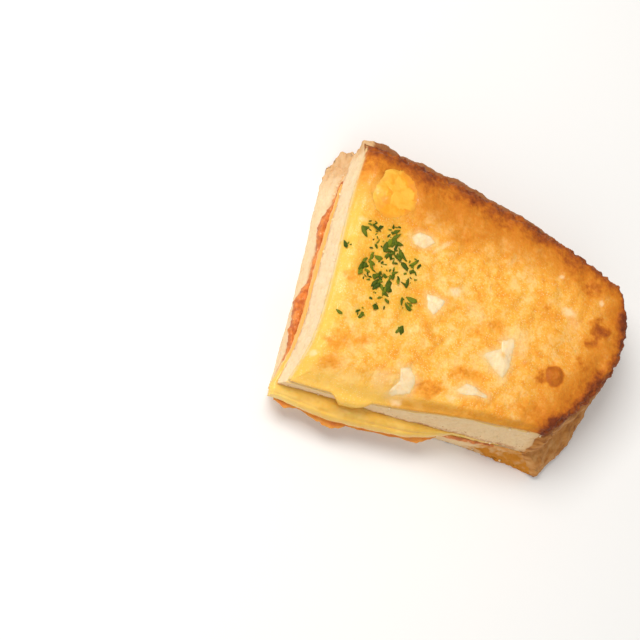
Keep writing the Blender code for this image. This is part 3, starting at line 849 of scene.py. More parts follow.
class Nodes:
    """A tree of nodes in the making."""

    tree = None

    def node(self, kind, settings=None, values=None):
        """Adds a node: its settings first, then the values or links of its sockets."""
        made = self.tree.nodes.new(kind)
        for title, value in (settings or {}).items():
            setattr(made, title, value)
        for key, value in (values or {}).items():
            self.feed(made.inputs[key], value)
        return made

    def feed(self, socket, value):
        """Links a socket to another node, or sets its value."""
        value = value.socket if isinstance(value, Sum) else value
        if isinstance(value, bpy.types.NodeSocket):
            self.tree.links.new(value, socket)
        elif socket.type == "RGBA":
            socket.default_value = (*value, 1)
        else:
            socket.default_value = value


class Finish(Nodes):
    """A material in the making."""

    def __init__(self, name):
        self.material = bpy.data.materials.new(name)
        self.material.use_nodes = True
        self.tree = self.material.node_tree
        self.tree.nodes.clear()
        self.shader = self.node("ShaderNodeBsdfPrincipled")
        output = self.node("ShaderNodeOutputMaterial")
        self.tree.links.new(self.shader.outputs[0], output.inputs["Surface"])
        self.place = self.node("ShaderNodeTexCoord").outputs["Object"]

    def set(self, **values):
        """Sets the shader's sockets, whose names are written with underscores."""
        for title, value in values.items():
            self.feed(self.shader.inputs[title.replace("_", " ")], value)
        return self.material

    def soft(self, weight, radius, depth, **values):
        """Lets light some way into the piece, and sets more of the shader's sockets."""
        return self.set(Subsurface_Weight=weight, Subsurface_Radius=radius,
                        Subsurface_Scale=depth, **values)

    def share(self, name):
        """A share painted onto the piece's points."""
        made = self.node("ShaderNodeAttribute", {"attribute_name": name})
        return Sum(self, made.outputs["Fac"])

    def shares(self, *names):
        return [self.share(name) for name in names]

    def grain(self, size, detail=3.0, at=None, distortion=0.0):
        """Noise from 0 to 1 whose patches are about size wide."""
        made = self.node("ShaderNodeTexNoise", None, {
            "Vector": at or self.place, "Scale": 1 / size, "Detail": detail,
            "Roughness": 0.55, "Distortion": distortion,
        })
        return Sum(self, made.outputs["Fac"])

    def cells(self, size):
        """Distance to the nearest of many scattered spots, in spacings."""
        made = self.node("ShaderNodeTexVoronoi", None, {
            "Vector": self.place, "Scale": 1 / size,
        })
        return Sum(self, made.outputs["Distance"])

    def stretched(self, x, y, z):
        """The place, with the pattern on it drawn out along an axis where the number is large."""
        made = self.node("ShaderNodeMapping", {"vector_type": "TEXTURE"}, {
            "Vector": self.place, "Scale": (x, y, z),
        })
        return made.outputs[0]

    def blend(self, share, first, second):
        """A colour that goes from first to second as share goes from 0 to 1."""
        made = self.node(
            "ShaderNodeMix", {"data_type": "RGBA"}, {0: share, 6: first, 7: second}
        )
        return made.outputs[2]

    def layers(self, colour, *coats):
        """A colour under coats of (share, colour), each laid over those before it."""
        for share, coat in coats:
            colour = self.blend(share, colour, coat)
        return colour

    def ramp(self, share, *stops):
        """A colour from (place, colour) stops."""
        made = self.node("ShaderNodeValToRGB")
        elements = made.color_ramp.elements
        while len(elements) < len(stops):
            elements.new(0.5)
        for element, (at, colour) in zip(elements, stops):
            element.position = at
            element.color = (*colour, 1)
        self.feed(made.inputs[0], share)
        return made.outputs[0]

    def bump(self, height, depth, strength=1.0, under=None):
        """A normal from a height of 0 to 1 that stands for depth metres."""
        values = {"Height": height, "Distance": depth, "Strength": strength}
        if under is not None:
            values["Normal"] = under
        return self.node("ShaderNodeBump", None, values).outputs[0]


def colour_setting(name, description, default):
    return FloatVectorProperty(
        name=name, description=description, subtype="COLOR", size=3, min=0, max=1, default=default
    )


def length_setting(name, description, default):
    return FloatProperty(
        name=name, description=description, default=default, min=0, unit="LENGTH",
        subtype="DISTANCE", precision=5,
    )


def share_setting(name, description, default):
    return FloatProperty(
        name=name, description=description, default=default, min=0, max=1, subtype="FACTOR"
    )


def amount_setting(name, description, default, unit="NONE"):
    return FloatProperty(name=name, description=description, default=default, min=0, unit=unit)


def seed_setting(name, description, default):
    return IntProperty(name=name, description=description, default=default, min=0)


class Growth(Nodes):
    """A Geometry Nodes tree that puts shapes on points, with the further inputs given."""

    def __init__(self, name, **inputs):
        self.tree = bpy.data.node_groups.new(name, "GeometryNodeTree")
        face = self.tree.interface
        inputs = {"Geometry": "Geometry", "Shapes": "Collection", "Finish": "Material", **inputs}
        for title, kind in inputs.items():
            face.new_socket(title, in_out="INPUT", socket_type="NodeSocket" + kind)
        face.new_socket("Geometry", in_out="OUTPUT", socket_type="NodeSocketGeometry")
        self.given = self.node("NodeGroupInput").outputs

    def own(self, title, kind="FLOAT"):
        """What a named attribute of the points holds."""
        made = self.node("GeometryNodeInputNamedAttribute", {"data_type": kind}, {"Name": title})
        return made.outputs["Attribute"]

    def put_on(self, points, values):
        """Puts the shapes on the points as plain mesh with the finish, which ends the tree."""
        shapes = self.node("GeometryNodeCollectionInfo", None, {
            "Collection": self.given["Shapes"], "Separate Children": True,
            "Reset Children": True,
        })
        placed = self.node("GeometryNodeInstanceOnPoints", None, {
            "Points": points, "Instance": shapes.outputs[0], "Pick Instance": True, **values,
        })
        real = self.node("GeometryNodeRealizeInstances", None, {0: placed.outputs[0]})
        done = self.node("GeometryNodeSetMaterial", None, {
            "Geometry": real.outputs[0], "Material": self.given["Finish"],
        })
        self.node("NodeGroupOutput", None, {0: done.outputs[0]})

    def grow(self, piece, name, **values):
        """The plain mesh object that the tree makes of a piece."""
        change = piece.modifiers.new(name, "NODES")
        change.node_group = self.tree
        for item in self.tree.interface.items_tree:
            if item.in_out == "INPUT" and item.name in values:
                change[item.identifier] = values[item.name]
        piece.update_tag()
        graph = bpy.context.evaluated_depsgraph_get()
        graph.update()
        mesh = bpy.data.meshes.new_from_object(piece.evaluated_get(graph))
        mesh.name = name
        piece.modifiers.remove(change)
        return added(name, mesh)


# ---------------------------------------------------------------------------- settings


class BreadSettings(bpy.types.PropertyGroup):
    """Colours and grain of both slices."""

    crumb: colour_setting("Crumb", "Colour of the cut crumb", (0.90, 0.69, 0.43))
    crumb_shade: colour_setting("Crumb Shade", "Colour of denser crumb", (0.82, 0.56, 0.30))
    # Painted shade: the crumb is darkened inside its pores, where shade falls.
    pore_shade: colour_setting("Pore", "Colour inside the pores", (0.70, 0.45, 0.21))
    toasted: colour_setting("Toasted", "Colour of toasted crumb", (0.60, 0.225, 0.022))
    # Painted shade: the crumb of the front cut is darkened, as that face turns away from the light.
    painted_front_shade: colour_setting("Front Crumb", "Colour it leans to in front", (0.78, 0.50, 0.22))
    oiled: colour_setting("Oiled", "Colour of crumb under the topping", (0.93, 0.60, 0.14))
    soaked: colour_setting("Soaked", "Colour of crumb by the sauce", (0.80, 0.36, 0.10))
    stain: colour_setting("Stain", "Colour of sauce on the crumb", (0.50, 0.17, 0.06))
    crust: colour_setting("Crust", "Colour of the crust", (0.54, 0.22, 0.05))
    crust_dark: colour_setting("Dark Crust", "Colour of the crust's dark rim", (0.24, 0.065, 0.015))
    crust_light: colour_setting("Light Crust", "Colour of worn crust", (0.72, 0.38, 0.13))
    crust_far: colour_setting("Far Crust", "Colour of the far crust, high up", (0.33, 0.105, 0.025))
    pore_size: length_setting("Pore Size", "Spacing of the pores in the crumb", 0.95 * MM)
    pore_depth: length_setting("Pore Depth", "Depth of the pores in the crumb", 0.17 * MM)
    crag_height: length_setting("Crag Height", "Height of the crust's crags", 0.42 * MM)
    crumb_size: length_setting("Crumb Size", "Width of the largest loose crumbs", 0.9 * MM)
    crumb_density: amount_setting("Crumb Density", "Loose crumbs to a square metre", 60000)
    crumb_seed: seed_setting("Crumb Seed", "Which scatter of crumbs", 3)


class FillingSettings(bpy.types.PropertyGroup):
    """Colours of the sauce and the cheese."""

    sauce: colour_setting("Sauce", "Colour of the tomato sauce", (0.78, 0.26, 0.045))
    sauce_dark: colour_setting("Dark Sauce", "Colour of thick sauce", (0.52, 0.13, 0.02))
    sauce_bits: colour_setting("Sauce Bits", "Colour of the bits in the sauce", (0.92, 0.54, 0.28))
    oil: colour_setting("Oily Sauce", "Colour of thin, oily sauce", (0.86, 0.36, 0.05))
    cheese: colour_setting("Cheese", "Colour of the melted cheese", (0.83, 0.475, 0.065))
    cheese_pale: colour_setting("Pale Cheese", "Colour of thin cheese", (0.91, 0.62, 0.145))
    cheese_stained: colour_setting("Stained Cheese", "Cheese by the sauce", (0.95, 0.44, 0.09))
    grain_height: length_setting("Sauce Grain", "Height of the grains in the sauce", 0.30 * MM)


class ToppingSettings(bpy.types.PropertyGroup):
    """Colours and relief of the baked egg and cheese."""

    pale: colour_setting("Pale", "Colour where it is palest", (0.98, 0.60, 0.19))
    golden: colour_setting("Golden", "Colour of most of it", (0.94, 0.465, 0.062))
    deep: colour_setting("Deep", "Colour of its darker mottles", (0.87, 0.33, 0.026))
    yellow: colour_setting("Yellow", "Colour of the smooth cheese by the cuts", (0.94, 0.56, 0.10))
    # Also painted shade: the same deep gold darkens the whole topping towards the right, away from
    # the light.
    baked_and_shaded: colour_setting("Baked", "Colour of its deep golden far side", (0.66, 0.22, 0.018))
    browned: colour_setting("Browned", "Colour where it is browned", (0.60, 0.18, 0.014))
    brown: colour_setting("Brown", "Colour where it is well browned", (0.38, 0.09, 0.012))
    scorched: colour_setting("Scorched", "Colour of its darkest rim", (0.19, 0.04, 0.012))
    light_grain: colour_setting("Light Grain", "Colour of its palest grains", (1.0, 0.68, 0.26))
    # Painted highlights: small bright spots that stand for light caught on the glossy topping.
    painted_glint: colour_setting("Glint", "Colour of small shiny spots", (1.0, 0.76, 0.36))
    herby: colour_setting("Herby", "Colour round the parsley", (0.70, 0.46, 0.035))
    # Also painted shade: this darker gold lies on the front edge, the front side and the drip's
    # lower end, which face away from the light, as well as where the topping runs thin.
    thin: colour_setting("Thin", "Colour where it has run thin", (0.64, 0.25, 0.016))
    milky: colour_setting("Milky", "Colour of bits of egg under it", (0.97, 0.72, 0.40))
    bare: colour_setting("Bare", "Colour of crumb below its edge", (0.88, 0.62, 0.30))
    wave_height: length_setting("Wave Height", "Height of the soft waves", 0.16 * MM)
    bubble_size: length_setting("Bubble Size", "Spacing of the small bubbles", 1.5 * MM)
    bubble_height: length_setting("Bubble Height", "Height of the small bubbles", 0.10 * MM)
    crag_height: length_setting("Crag Height", "Height of the crags at the rim", 0.62 * MM)
    pocket_depth: length_setting("Pocket Depth", "Depth of the pockets that hold egg", 0.45 * MM)


class EggSettings(bpy.types.PropertyGroup):
    """Colours of the pieces of boiled egg."""

    white: colour_setting("White", "Colour of the egg white", (0.95, 0.72, 0.44))
    melted: colour_setting("Melted", "Egg white under melted cheese", (0.95, 0.52, 0.12))
    yolk: colour_setting("Yolk", "Colour of the yolk", (0.96, 0.385, 0.015))
    yolk_pale: colour_setting("Pale Yolk", "Colour of the yolk's paler parts", (0.97, 0.50, 0.055))
    yolk_deep: colour_setting("Deep Yolk", "Colour of its darker parts", (0.86, 0.31, 0.025))
    veil: colour_setting("Veil", "Yolk under melted cheese", (0.97, 0.56, 0.09))


class ParsleySettings(bpy.types.PropertyGroup):
    """Colours, thickness and scatter of the parsley."""

    dark: colour_setting("Dark", "Colour of the darker flakes", (0.035, 0.072, 0.004))
    light: colour_setting("Light", "Colour of the lighter flakes", (0.22, 0.25, 0.012))
    thickness: share_setting("Thickness", "Thickness of a flake to half its length", 0.25)
    seed: seed_setting("Seed", "Which scatter of flakes", 11)


class StageSettings(bpy.types.PropertyGroup):
    """The floor, the light and the camera."""

    floor: colour_setting("Floor", "Colour of the floor", (0.95, 0.95, 0.945))
    floor_shade: colour_setting("Floor Shade", "Colour of its mottles", (0.93, 0.93, 0.925))
    lamp: colour_setting("Lamp", "Colour of both lamps", (1.0, 0.975, 0.94))
    room: colour_setting("Room", "Colour of the light from all round", (1.0, 0.985, 0.96))
    sky: amount_setting("Sky", "Strength of the light from all round", 0.36)
    key: amount_setting("Key Light", "Power of the main light", 2.35, "POWER")
    fill: amount_setting("Fill Light", "Power of the light in front", 1.6, "POWER")
    distance: length_setting("Distance", "From the camera to where it aims", 0.65)
    lens: amount_setting("Lens", "Focal length in millimetres", 160.875)


# ---------------------------------------------------------------------------- bread


def bread_finish(name, look, upper):
    """Crumb where it is cut, with stains and with painted shade in its pores and on the front cut;
    browned crust where it isn't.
    """
    f = Finish(name)
    crust, pore_shade, height, front, far, toasted, damp = f.shares(
        "crust", "pore_shade", "height", "front", "far", "toasted", "damp"
    )
    patchy, mottle, fine = f.grain(5 * MM), f.grain(1.6 * MM, 4), f.grain(0.5 * MM, 4)
    crumb = f.layers(
        look.crumb,
        (mottle.above(0.38, 0.72) * 0.45, look.crumb_shade),
        # painted shade in the pores, with a darker fine grain of the crumb
        ((pore_shade * 0.40 + fine.above(0.50, 0.8) * 0.35).held(), look.pore_shade),
        # painted shade on the front cut's crumb, which faces away from the light
        (front * 0.35, look.painted_front_shade),
        (toasted.stirred(mottle, 0.9).held(), look.toasted),
    )
    if upper:
        edge = 1 - height.shifted(mottle, 0.12).above(0.03, 0.16)
        specks = 1 - f.cells(0.8 * MM).above(0.16, 0.34)
        low = 1 - height.shifted(mottle, 0.5).above(0.12, 0.42)
        crumb = f.layers(
            crumb,
            (height.shifted(mottle, 0.08).above(0.93, 1.0) * damp * 0.7, look.oiled),
            (edge * damp * (0.4 + front * 0.4) * mottle.above(0.35, 0.6), look.stain),
            (specks * low * front * patchy.above(0.38, 0.55) * 0.8, look.stain),
        )
        rim = height.shifted(mottle, 0.25).above(0.70, 1.0)
    else:
        soaked = height.shifted(mottle, 0.3).above(0.72, 1.0) * damp * 0.6
        crumb = f.blend(soaked, crumb, look.soaked)
        rim = 1 - height.above(0, 0.2)
    fibres = f.grain(1.3 * MM, 4, at=f.stretched(2.6, 2.6, 0.8))
    skin = f.layers(
        f.ramp((fibres * 0.7 + patchy * 0.5 - 0.1).held(),
               (0.28, look.crust_dark), (0.46, look.crust), (0.72, look.crust_light)),
        (rim * 0.7, look.crust_dark),
        (height.shifted(mottle, 0.4).above(0.25, 0.62) * far * 0.85, look.crust_far),
    )
    browned = crust.stirred(mottle, 0.5).above(0.25, 0.7)
    grains = fine * 0.6 + mottle * 0.4
    normal = f.bump(grains, 0.22 * MM, 0.55, f.bump(fibres, 0.25 * MM, 0.4))
    f.set(Base_Color=f.blend(browned, crumb, skin), Roughness=0.9 - browned * 0.3, Normal=normal)
    return f.soft(0.18, (1.0, 0.6, 0.3), 1.2 * MM, Specular_IOR_Level=0.12)


def crumb_relief(points, look, seed):
    """Height of the cut crumb's surface and how deep in a pore each point is."""
    shift = [ripple(points, 1.4 * MM, seed + k) for k in range(3)]
    bent = points + 0.5 * MM * np.column_stack(shift)
    away, own = cells(bent, look.pore_size, seed)
    pores = (1 - smooth(away / (0.25 + 0.35 * own))) * (own > 0.30)
    wide, wide_own = cells(bent, look.pore_size * 2.8, seed + 5)
    pores = np.maximum(pores, 1.5 * (1 - smooth(wide / 0.30)) * (wide_own > 0.75))
    height = CRUMB_WAVES * rough(points, 2.2 * MM, seed)
    height += CRUMB_GRAIN * rough(points, 0.8 * MM, seed, 2)
    return height - look.pore_depth * pores, np.clip(pores, 0, 1)


def crust_relief(points, look, seed):
    """Height of the crust's crags."""
    crags = rough(points, 3.4 * MM, seed, 4, 0.55)
    folds = 1 - np.abs(rough(points * (1, 1, 0.6), 2.4 * MM, seed + 3, 2)) * 2
    return look.crag_height * (0.8 * crags + 0.35 * folds)


def torn_back(points, u, v):
    """How far the lower slice's far left corner is torn away, to the right and to the front."""
    by_left = 1 - smooth(width_mm(u) / 9)
    by_far = smooth(depth_mm(v - 1) / 8 + 1)
    ragged = rough(points, 1.7 * MM, 36, 3)
    return (by_left * by_far)[:, None] * np.column_stack([
        0.8 + 0.3 * ragged, -1.8 - 0.9 * ragged, 0 * ragged,
    ]) * MM


def make_slice(name, node, shape, toasting, finish, look, seed):
    """One slice: its warped block, roughened where it is cut and craggy where it has crust."""
    na, nb, nw = BREAD_FIELDS
    shares, faces = block_net(even(na), even(nb), plain(nw), CAP_STEP, CAP_STEP)
    a, b, w = shares.T
    points = shape(a, b, w)
    u, v = spread(a), spread(b)
    front, far = at_start(b), at_end(b)
    cut = (at_start(a) | front).astype(float)
    wall = (at_end(a) | far).astype(float)
    torn = far * (1 - smooth((width_mm(u) - 1 + 1.5 * rough(points, 2 * MM, 33)) / 5))
    to_crust = to_crust_edge(u, v)
    if node == "bread_bottom":
        points += torn_back(points, u, v)
    ragged = CRUST_START_RAGGEDNESS * rough(points, 1.6 * MM, seed + 7)
    skin = ~at_start(a) * (1 - smooth((to_crust - CRUST_START + ragged) / (1.6 * MM)))
    caps = (at_start(w) | at_end(w)) * (1 - smooth(to_crust / (5 * MM)))
    crust = np.maximum(np.maximum(wall * (1 - 0.85 * torn), cut * skin), caps * (1 - torn))
    crumb_height, pore_shade = crumb_relief(points, look, seed)
    edge = 0.6 + 0.4 * smooth(np.minimum(w, 1 - w) / 0.04)
    coarse = 1 + cut * toasting(points, a, b, w)
    height = mixed(crumb_height * coarse, crust_relief(points, look, seed + 2), crust)
    height += TORN_HEIGHT * torn * rough(points, 1.8 * MM, seed + 9, 3)
    points = raised(points, faces, height * np.maximum(cut, wall) * edge)
    nibbled = smooth(rough(points, 1.9 * MM, seed + 6) + 0.1) * coarse * (coarse > 1.2)
    nibbled *= (1 - smooth(w / 0.3)) * (1 - smooth(depth_mm(v) / 2.5)) * (b < 0.2)
    points[:, 2] += NIBBLE_HEIGHT * nibbled
    points[:, 2] = np.maximum(points[:, 2], 0)
    painted = {
        "crust": crust,
        # the depth in the pores, which the finish turns into painted shade
        "pore_shade": pore_shade * np.maximum(cut, torn),
        "height": w,
        "front": front,
        "toasted": toasting(points, a, b, w),
        "far": far,
        "damp": cut * smooth(to_crust / (7 * MM)),
        "loose": cut * (np.abs(2 * w - 1) > 0.75) * (points[:, 2] > 0.7 * MM),
    }
    piece = new_piece(name, points, faces, finish, painted)
    stand_for(piece, "crumb", node)


def lower_toasting(points, a, b, w):
    """The lower slice is toasted at the front cut's far end, near its crusts and underneath."""
    x, y = points[:, 0] / MM, points[:, 1] / MM
    blotchy = rough(points, 3 * MM, 35)
    front_end = at_start(b) * smooth((x - 52 + 3 * blotchy) / 9)
    front_end *= 0.86 + 0.2 * (1 - w) + 0.35 * blotchy
    spot = np.hypot((x - 57.5) / 3.0, (w - 0.42) / 0.25)
    front_end += at_start(b) * 0.9 * (1 - smooth(spot + 0.6 * rough(points, 2 * MM, 34)))
    far_end = smooth((y - 50) / 9) * 0.5 * (at_start(a) | at_end(b))
    under = at_start(w) * 0.55
    return np.maximum(np.maximum(front_end, far_end), under)


def upper_toasting(points, a, b, w):
    """The upper slice is toasted only by its crusts."""
    u, v = spread(a), spread(b)
    by_crust = 1 - smooth(to_crust_edge(u, v) / (4 * MM))
    corner = at_end(b) * (1 - smooth((width_mm(u) - 2.5) / 4))
    return 0.5 * np.maximum(by_crust * (at_start(a) | at_start(b)), corner)


class TOAST_OT_bread(bpy.types.Operator):
    """Builds both slices of bread"""

    bl_idname = "toast.bread"
    bl_label = "Bread"

    def execute(self, context):
        look = context.scene.toast_bread
        for side, node, shape, toasting, seed in (
            ("lower", "bread_bottom", lower_slice, lower_toasting, 3),
            ("upper", "bread_top", upper_slice, upper_toasting, 8),
        ):
            finish = bread_finish(side + "_bread", look, side == "upper")
            make_slice(side + "_slice", node, shape, toasting, finish, look, seed)
        return {"FINISHED"}


# ---------------------------------------------------------------------------- filling


def sauce_finish(look):
    """Grainy tomato sauce with pale bits."""
    f = Finish("tomato")
    mottle, fine, bits = f.grain(1.8 * MM, 4), f.grain(0.45 * MM, 3), f.cells(0.9 * MM)
    colour = f.layers(
        look.sauce_dark,
        (mottle.above(0.35, 0.65), look.sauce),
        ((1 - bits.above(0.1, 0.34)) * mottle.above(0.42, 0.6) * 0.7, look.sauce_bits),
    )
    normal = f.bump(fine * 0.6 + mottle * 0.4, 0.25 * MM, 0.7)
    f.set(Base_Color=colour, Roughness=0.40 + fine * 0.3, Normal=normal)
    return f.soft(0.2, (1.0, 0.3, 0.1), 1.0 * MM)


def smear_finish(look):
    """Thin, oily sauce that has run out with the cheese."""
    f = Finish("oily_tomato")
    mottle, fine = f.grain(2.4 * MM, 3), f.grain(0.6 * MM, 3)
    colour = f.blend(mottle.above(0.42, 0.66), look.oil, look.sauce)
    f.set(Base_Color=colour, Roughness=0.28 + fine * 0.2, Normal=f.bump(fine, 0.15 * MM, 0.5))
    return f.soft(0.3, (1.0, 0.4, 0.1), 1.0 * MM)


def cheese_finish(look):
    """Smooth melted cheese, paler where it is thin and stained by the sauce at the left cut."""
    f = Finish("melted_cheese")
    thin, stained = f.shares("thin", "stained")
    soft, fine = f.grain(4 * MM, 3, distortion=0.4), f.grain(0.9 * MM, 3)
    colour = f.layers(
        look.cheese,
        (soft.above(0.35, 0.7) * 0.5, look.cheese_pale),
        ((thin * 0.85).held(), look.cheese_pale),
        (stained.stirred(soft, 0.7).held(), look.cheese_stained),
    )
    normal = f.bump(soft * 0.7 + fine * 0.3, 0.2 * MM, 0.4)
    f.set(Base_Color=colour, Roughness=0.27 + soft * 0.12, Normal=normal)
    return f.soft(0.35, (1.0, 0.55, 0.15), 1.6 * MM, Coat_Weight=0.15, Coat_Roughness=0.2)


class TOAST_OT_filling(bpy.types.Operator):
    """Builds the tomato sauce, its ragged front and the slice of cheese"""

    bl_idname = "toast.filling"
    bl_label = "Filling"

    def execute(self, context):
        look = context.scene.toast_filling
        self.sauce(look, sauce_finish(look))
        self.smear(smear_finish(look))
        self.cheese(cheese_finish(look))
        return {"FINISHED"}

    def sauce(self, look, finish):
        """The layer of sauce, whose edge at the cuts is grainy."""
        (fine, coarse), nb, nw = SAUCE_FIELDS
        a_steps = np.concatenate([
            np.linspace(0, SAUCE_FINE_SHARE, fine + 1),
            np.linspace(SAUCE_FINE_SHARE, 1, coarse + 1)[1:],
        ])
        shares, faces = block_net(a_steps, even(nb), plain(nw))
        a, b, w = shares.T
        points = sauce_layer(a, b, w)
        edge = np.maximum(1 - smooth(a / 0.05), 1 - smooth(b / 0.03))
        away, own = cells(points, 1.0 * MM, 4)
        grains = (1 - smooth(away / 0.6)) * (0.4 + 0.6 * own)
        height = look.grain_height * (grains + 0.7 * rough(points, 2.2 * MM, 12))
        points = raised(points, faces, height * edge)
        stand_for(new_piece("sauce_layer", points, faces, finish), "sauce", "tomato_sauce")

    def smear(self, finish):
        """A thin film of sauce that shows in ragged tips below the lip of cheese."""
        na, nb = SMEAR_FIELDS
        steps = np.linspace(0, SMEAR_END, na + 1)
        shares, faces = block_net(steps, plain(nb), (0, 0.5, 1))
        u, b, w = shares.T
        lip = lip_share(u) * LIP_LENGTH
        tips = sum(
            length * MM * np.maximum(0, 1 - np.abs(u - at) / half) ** sharp
            for at, half, length, sharp in SMEAR_TIPS
        )
        line = np.column_stack([u * 60, np.zeros_like(u), np.zeros_like(u)])
        ragged = SMEAR_RAGGEDNESS * rough(line, 2.2, 5)
        reach = mixed(lip * 0.55, lip - 0.05 * MM + tips + ragged * smooth(tips / MM), 1 - b)
        spot = place(UPPER_PLAN, u, np.zeros_like(u))
        spot[:, 1] -= reach
        out = smooth((reach / np.maximum(lip, 1e-5) - 0.3) / 0.7)
        under = sauce_top(spot) + GAP - (LIP_DROOP + LIP_THICKENING * 0.6) * out * lip_share(u)
        thick = mixed(*SMEAR_THICKNESS, smooth(b / 0.5)) * MM
        past = np.maximum(0, reach - lip) * 0.25
        z = under - 0.12 * MM - past - thick * (1 - w)
        points = np.column_stack([spot, z])
        points = raised(points, faces, 0.08 * MM * rough(points, 0.9 * MM, 15))
        stand_for(new_piece("sauce_smear", points, faces, finish), "sauce")

    def cheese(self, finish):
        """The slice of cheese, with soft folds along its lip."""
        na, nb, nw = CHEESE_FIELDS
        steps = hanging_steps(LIP_SHARE, *nb)
        shares, faces = block_net(even(na), steps, plain(nw), 1, CAP_STEP)
        a, b, w = shares.T
        points = cheese_layer(a, b, w)
        _, out = hanging(b, LIP_SHARE)
        edge = np.maximum(1 - smooth(a / 0.04), smooth(out / 0.2))
        folds = CHEESE_FOLDS * ripple(points * (0.5, 1.6, 1), 2.6 * MM, 21)
        folds += CHEESE_GRAIN * rough(points, 1.6 * MM, 22)
        points = raised(points, faces, folds * edge)
        near = np.linalg.norm(points[:, :2] - mm(1.5, -1.0), axis=1)
        left = 1 - smooth(a / 0.02)
        painted = {
            "thin": (1 - smooth(near / (9 * MM))) * 0.9 + 0.25 * smooth((out - 0.7) / 0.3),
            "stained": left * smooth((points[:, 1] / MM - 6) / 6),
        }
        piece = new_piece("cheese_layer", points, faces, finish, painted)
        stand_for(piece, "cheese", "cheese_slice")


# ---------------------------------------------------------------------------- topping and egg


def topping_finish(look):
    """Baked egg and cheese: mottled gold, yellow by the cuts, browned at the rim and in spots, with
    painted shade along the front and towards the right, and painted glints.
    """
    f = Finish("baked_topping")
    brown, baked_and_shaded, pale, yellow, herby, bare, thin, even_share = f.shares(
        "brown", "baked_and_shaded", "pale", "yellow", "herby", "bare", "thin", "even"
    )
    broad, mottle = f.grain(8 * MM, 2, distortion=0.4), f.grain(2.6 * MM, 4, distortion=0.3)
    grit, fine, specks = f.grain(1.1 * MM, 4), f.grain(0.55 * MM, 4), f.cells(0.55 * MM)
    tone = (broad * 0.65 + mottle * 0.80 + grit * 0.20 - 0.325).held()
    # Painted highlights: small bright spots where the mottle is high.
    painted_glints = (1 - specks.above(0.12, 0.36)) * mottle.above(0.35, 0.58)
    uneven = (mottle - 0.5) * 0.8 + (grit - 0.5) * 0.8
    toast = brown + uneven * brown.above(0.02, 0.4) * (1 - even_share * 0.7)
    # deep gold baked in by the crusts, and painted shade towards the right, stirred by the grains
    golden = baked_and_shaded * (1 + (broad - 0.5) * 0.7 + (mottle - 0.5) * 0.6 + (grit - 0.5) * 0.5)
    colour = f.layers(
        f.ramp(tone, (0.34, look.pale), (0.50, look.golden), (0.70, look.deep)),
        (fine.above(0.50, 0.72) * 0.4, look.deep),
        ((1 - fine.above(0.30, 0.48)) * 0.35, look.light_grain),
        ((yellow * (0.1 + broad * 0.7 + mottle * 0.8)).held(), look.yellow),
        (painted_glints * 0.55, look.painted_glint),
        ((herby * (0.5 + mottle)).held() * 0.45, look.herby),
        (toast.above(0.0, 0.26) * 0.8, look.deep),
        (golden.held(), look.baked_and_shaded),
        # darker gold: painted shade on the parts that face the front, away from the light, and the
        # colour of thin topping
        ((thin * (0.4 + mottle)).held() * 0.8, look.thin),
        (toast.above(0.16, 0.58), look.browned),
        (toast.above(0.40, 0.90), look.brown),
        (toast.above(0.78, 1.15), look.scorched),
        (pale.stirred(mottle, 0.8).held(), look.milky),
        (bare * mottle.above(0.30, 0.50), look.bare),
    )
    normal = f.bump(mottle, 0.35 * MM, 0.35)
    normal = f.bump(fine * 0.6 + specks * 0.4, 0.22 * MM, 0.7, normal)
    f.set(Base_Color=colour, Roughness=0.32 + fine * 0.2 + toast.held() * 0.15, Normal=normal)
    return f.soft(0.25, (1.0, 0.5, 0.15), 1.2 * MM, Specular_IOR_Level=0.12,
                  Coat_Weight=0.16 - toast.above(0.05, 0.4) * 0.16, Coat_Roughness=0.12)


def egg_finish(name, look, yolk):
    """Boiled egg, whose rim is under melted cheese."""
    f = Finish(name)
    rim, melt = f.share("rim"), f.grain(1.1 * MM, 4)
    soft, fine = f.grain(2.6 * MM, 3, distortion=0.5), f.grain(0.6 * MM, 3)
    covered = rim.stirred(melt, 0.7).held()
    if yolk:
        facet, veiled = f.shares("facet", "veiled")
        shade = ((facet * 0.8).shifted(soft, 1.2) + 0.1).held()
        colour = f.layers(
            f.ramp(shade, (0.15, look.yolk_deep), (0.50, look.yolk), (0.85, look.yolk_pale)),
            (covered, look.yolk_deep),
            (veiled.shifted(soft, 0.8).held(), look.veil),
        )
    else:
        colour = f.layers(
            look.white,
            ((soft * 0.6 + melt * 0.6).above(0.5, 0.8) * 0.4, look.melted),
            (f.share("middle") * 0.6, look.yolk_pale),
            (covered, look.melted),
        )
    normal = f.bump(soft * 0.6 + fine * 0.4, 0.25 * MM, 0.5)
    f.set(Base_Color=colour, Roughness=0.30 + fine * 0.15, Normal=normal)
    return f.soft(0.4, (1.0, 0.7, 0.4), 1.4 * MM, Coat_Weight=0.15, Coat_Roughness=0.18,
                  Specular_IOR_Level=0.3)


def yolk_outline():
    """The yolk's round outline, as corners in millimetres."""
    _, (x, y), radius, _ = EGG_YOLK
    return [
        (x + radius * wave * math.cos(turn), y + radius * wave * math.sin(turn))
        for turn, wave in ((math.radians(10 * k), 1 + 0.02 * math.sin(k * 0.6)) for k in range(36))
    ]


def yolk_cover(spots):
    """How far the topping covers the yolk's left side."""
    against = (MM * np.array(EGG_YOLK[1]) - spots) @ YOLK_COVER_WAY
    return np.clip(against / YOLK_COVER_REACH, 0, 1)


def egg_outlines():
    """Name, outline and rise of every piece of egg."""
    name, _, _, rise = EGG_YOLK
    return [*EGG_WHITES, (name, yolk_outline(), rise)]


def plain_topping():
    """A search tree over the topping without relief or pockets."""
    shares, faces = block_net(even(80), even(90), (0, 1))
    return BVHTree.FromPolygons(topping_layer(*shares.T).tolist(), corner_lists(faces))


def topping_waves(points, look):
    """Soft waves that run through the topping and the egg in it."""
    flat = points * (1, 1, 0.3)
    return look.wave_height * (ripple(flat, 5.2 * MM, 41) + 0.5 * ripple(flat, 2.5 * MM, 42))


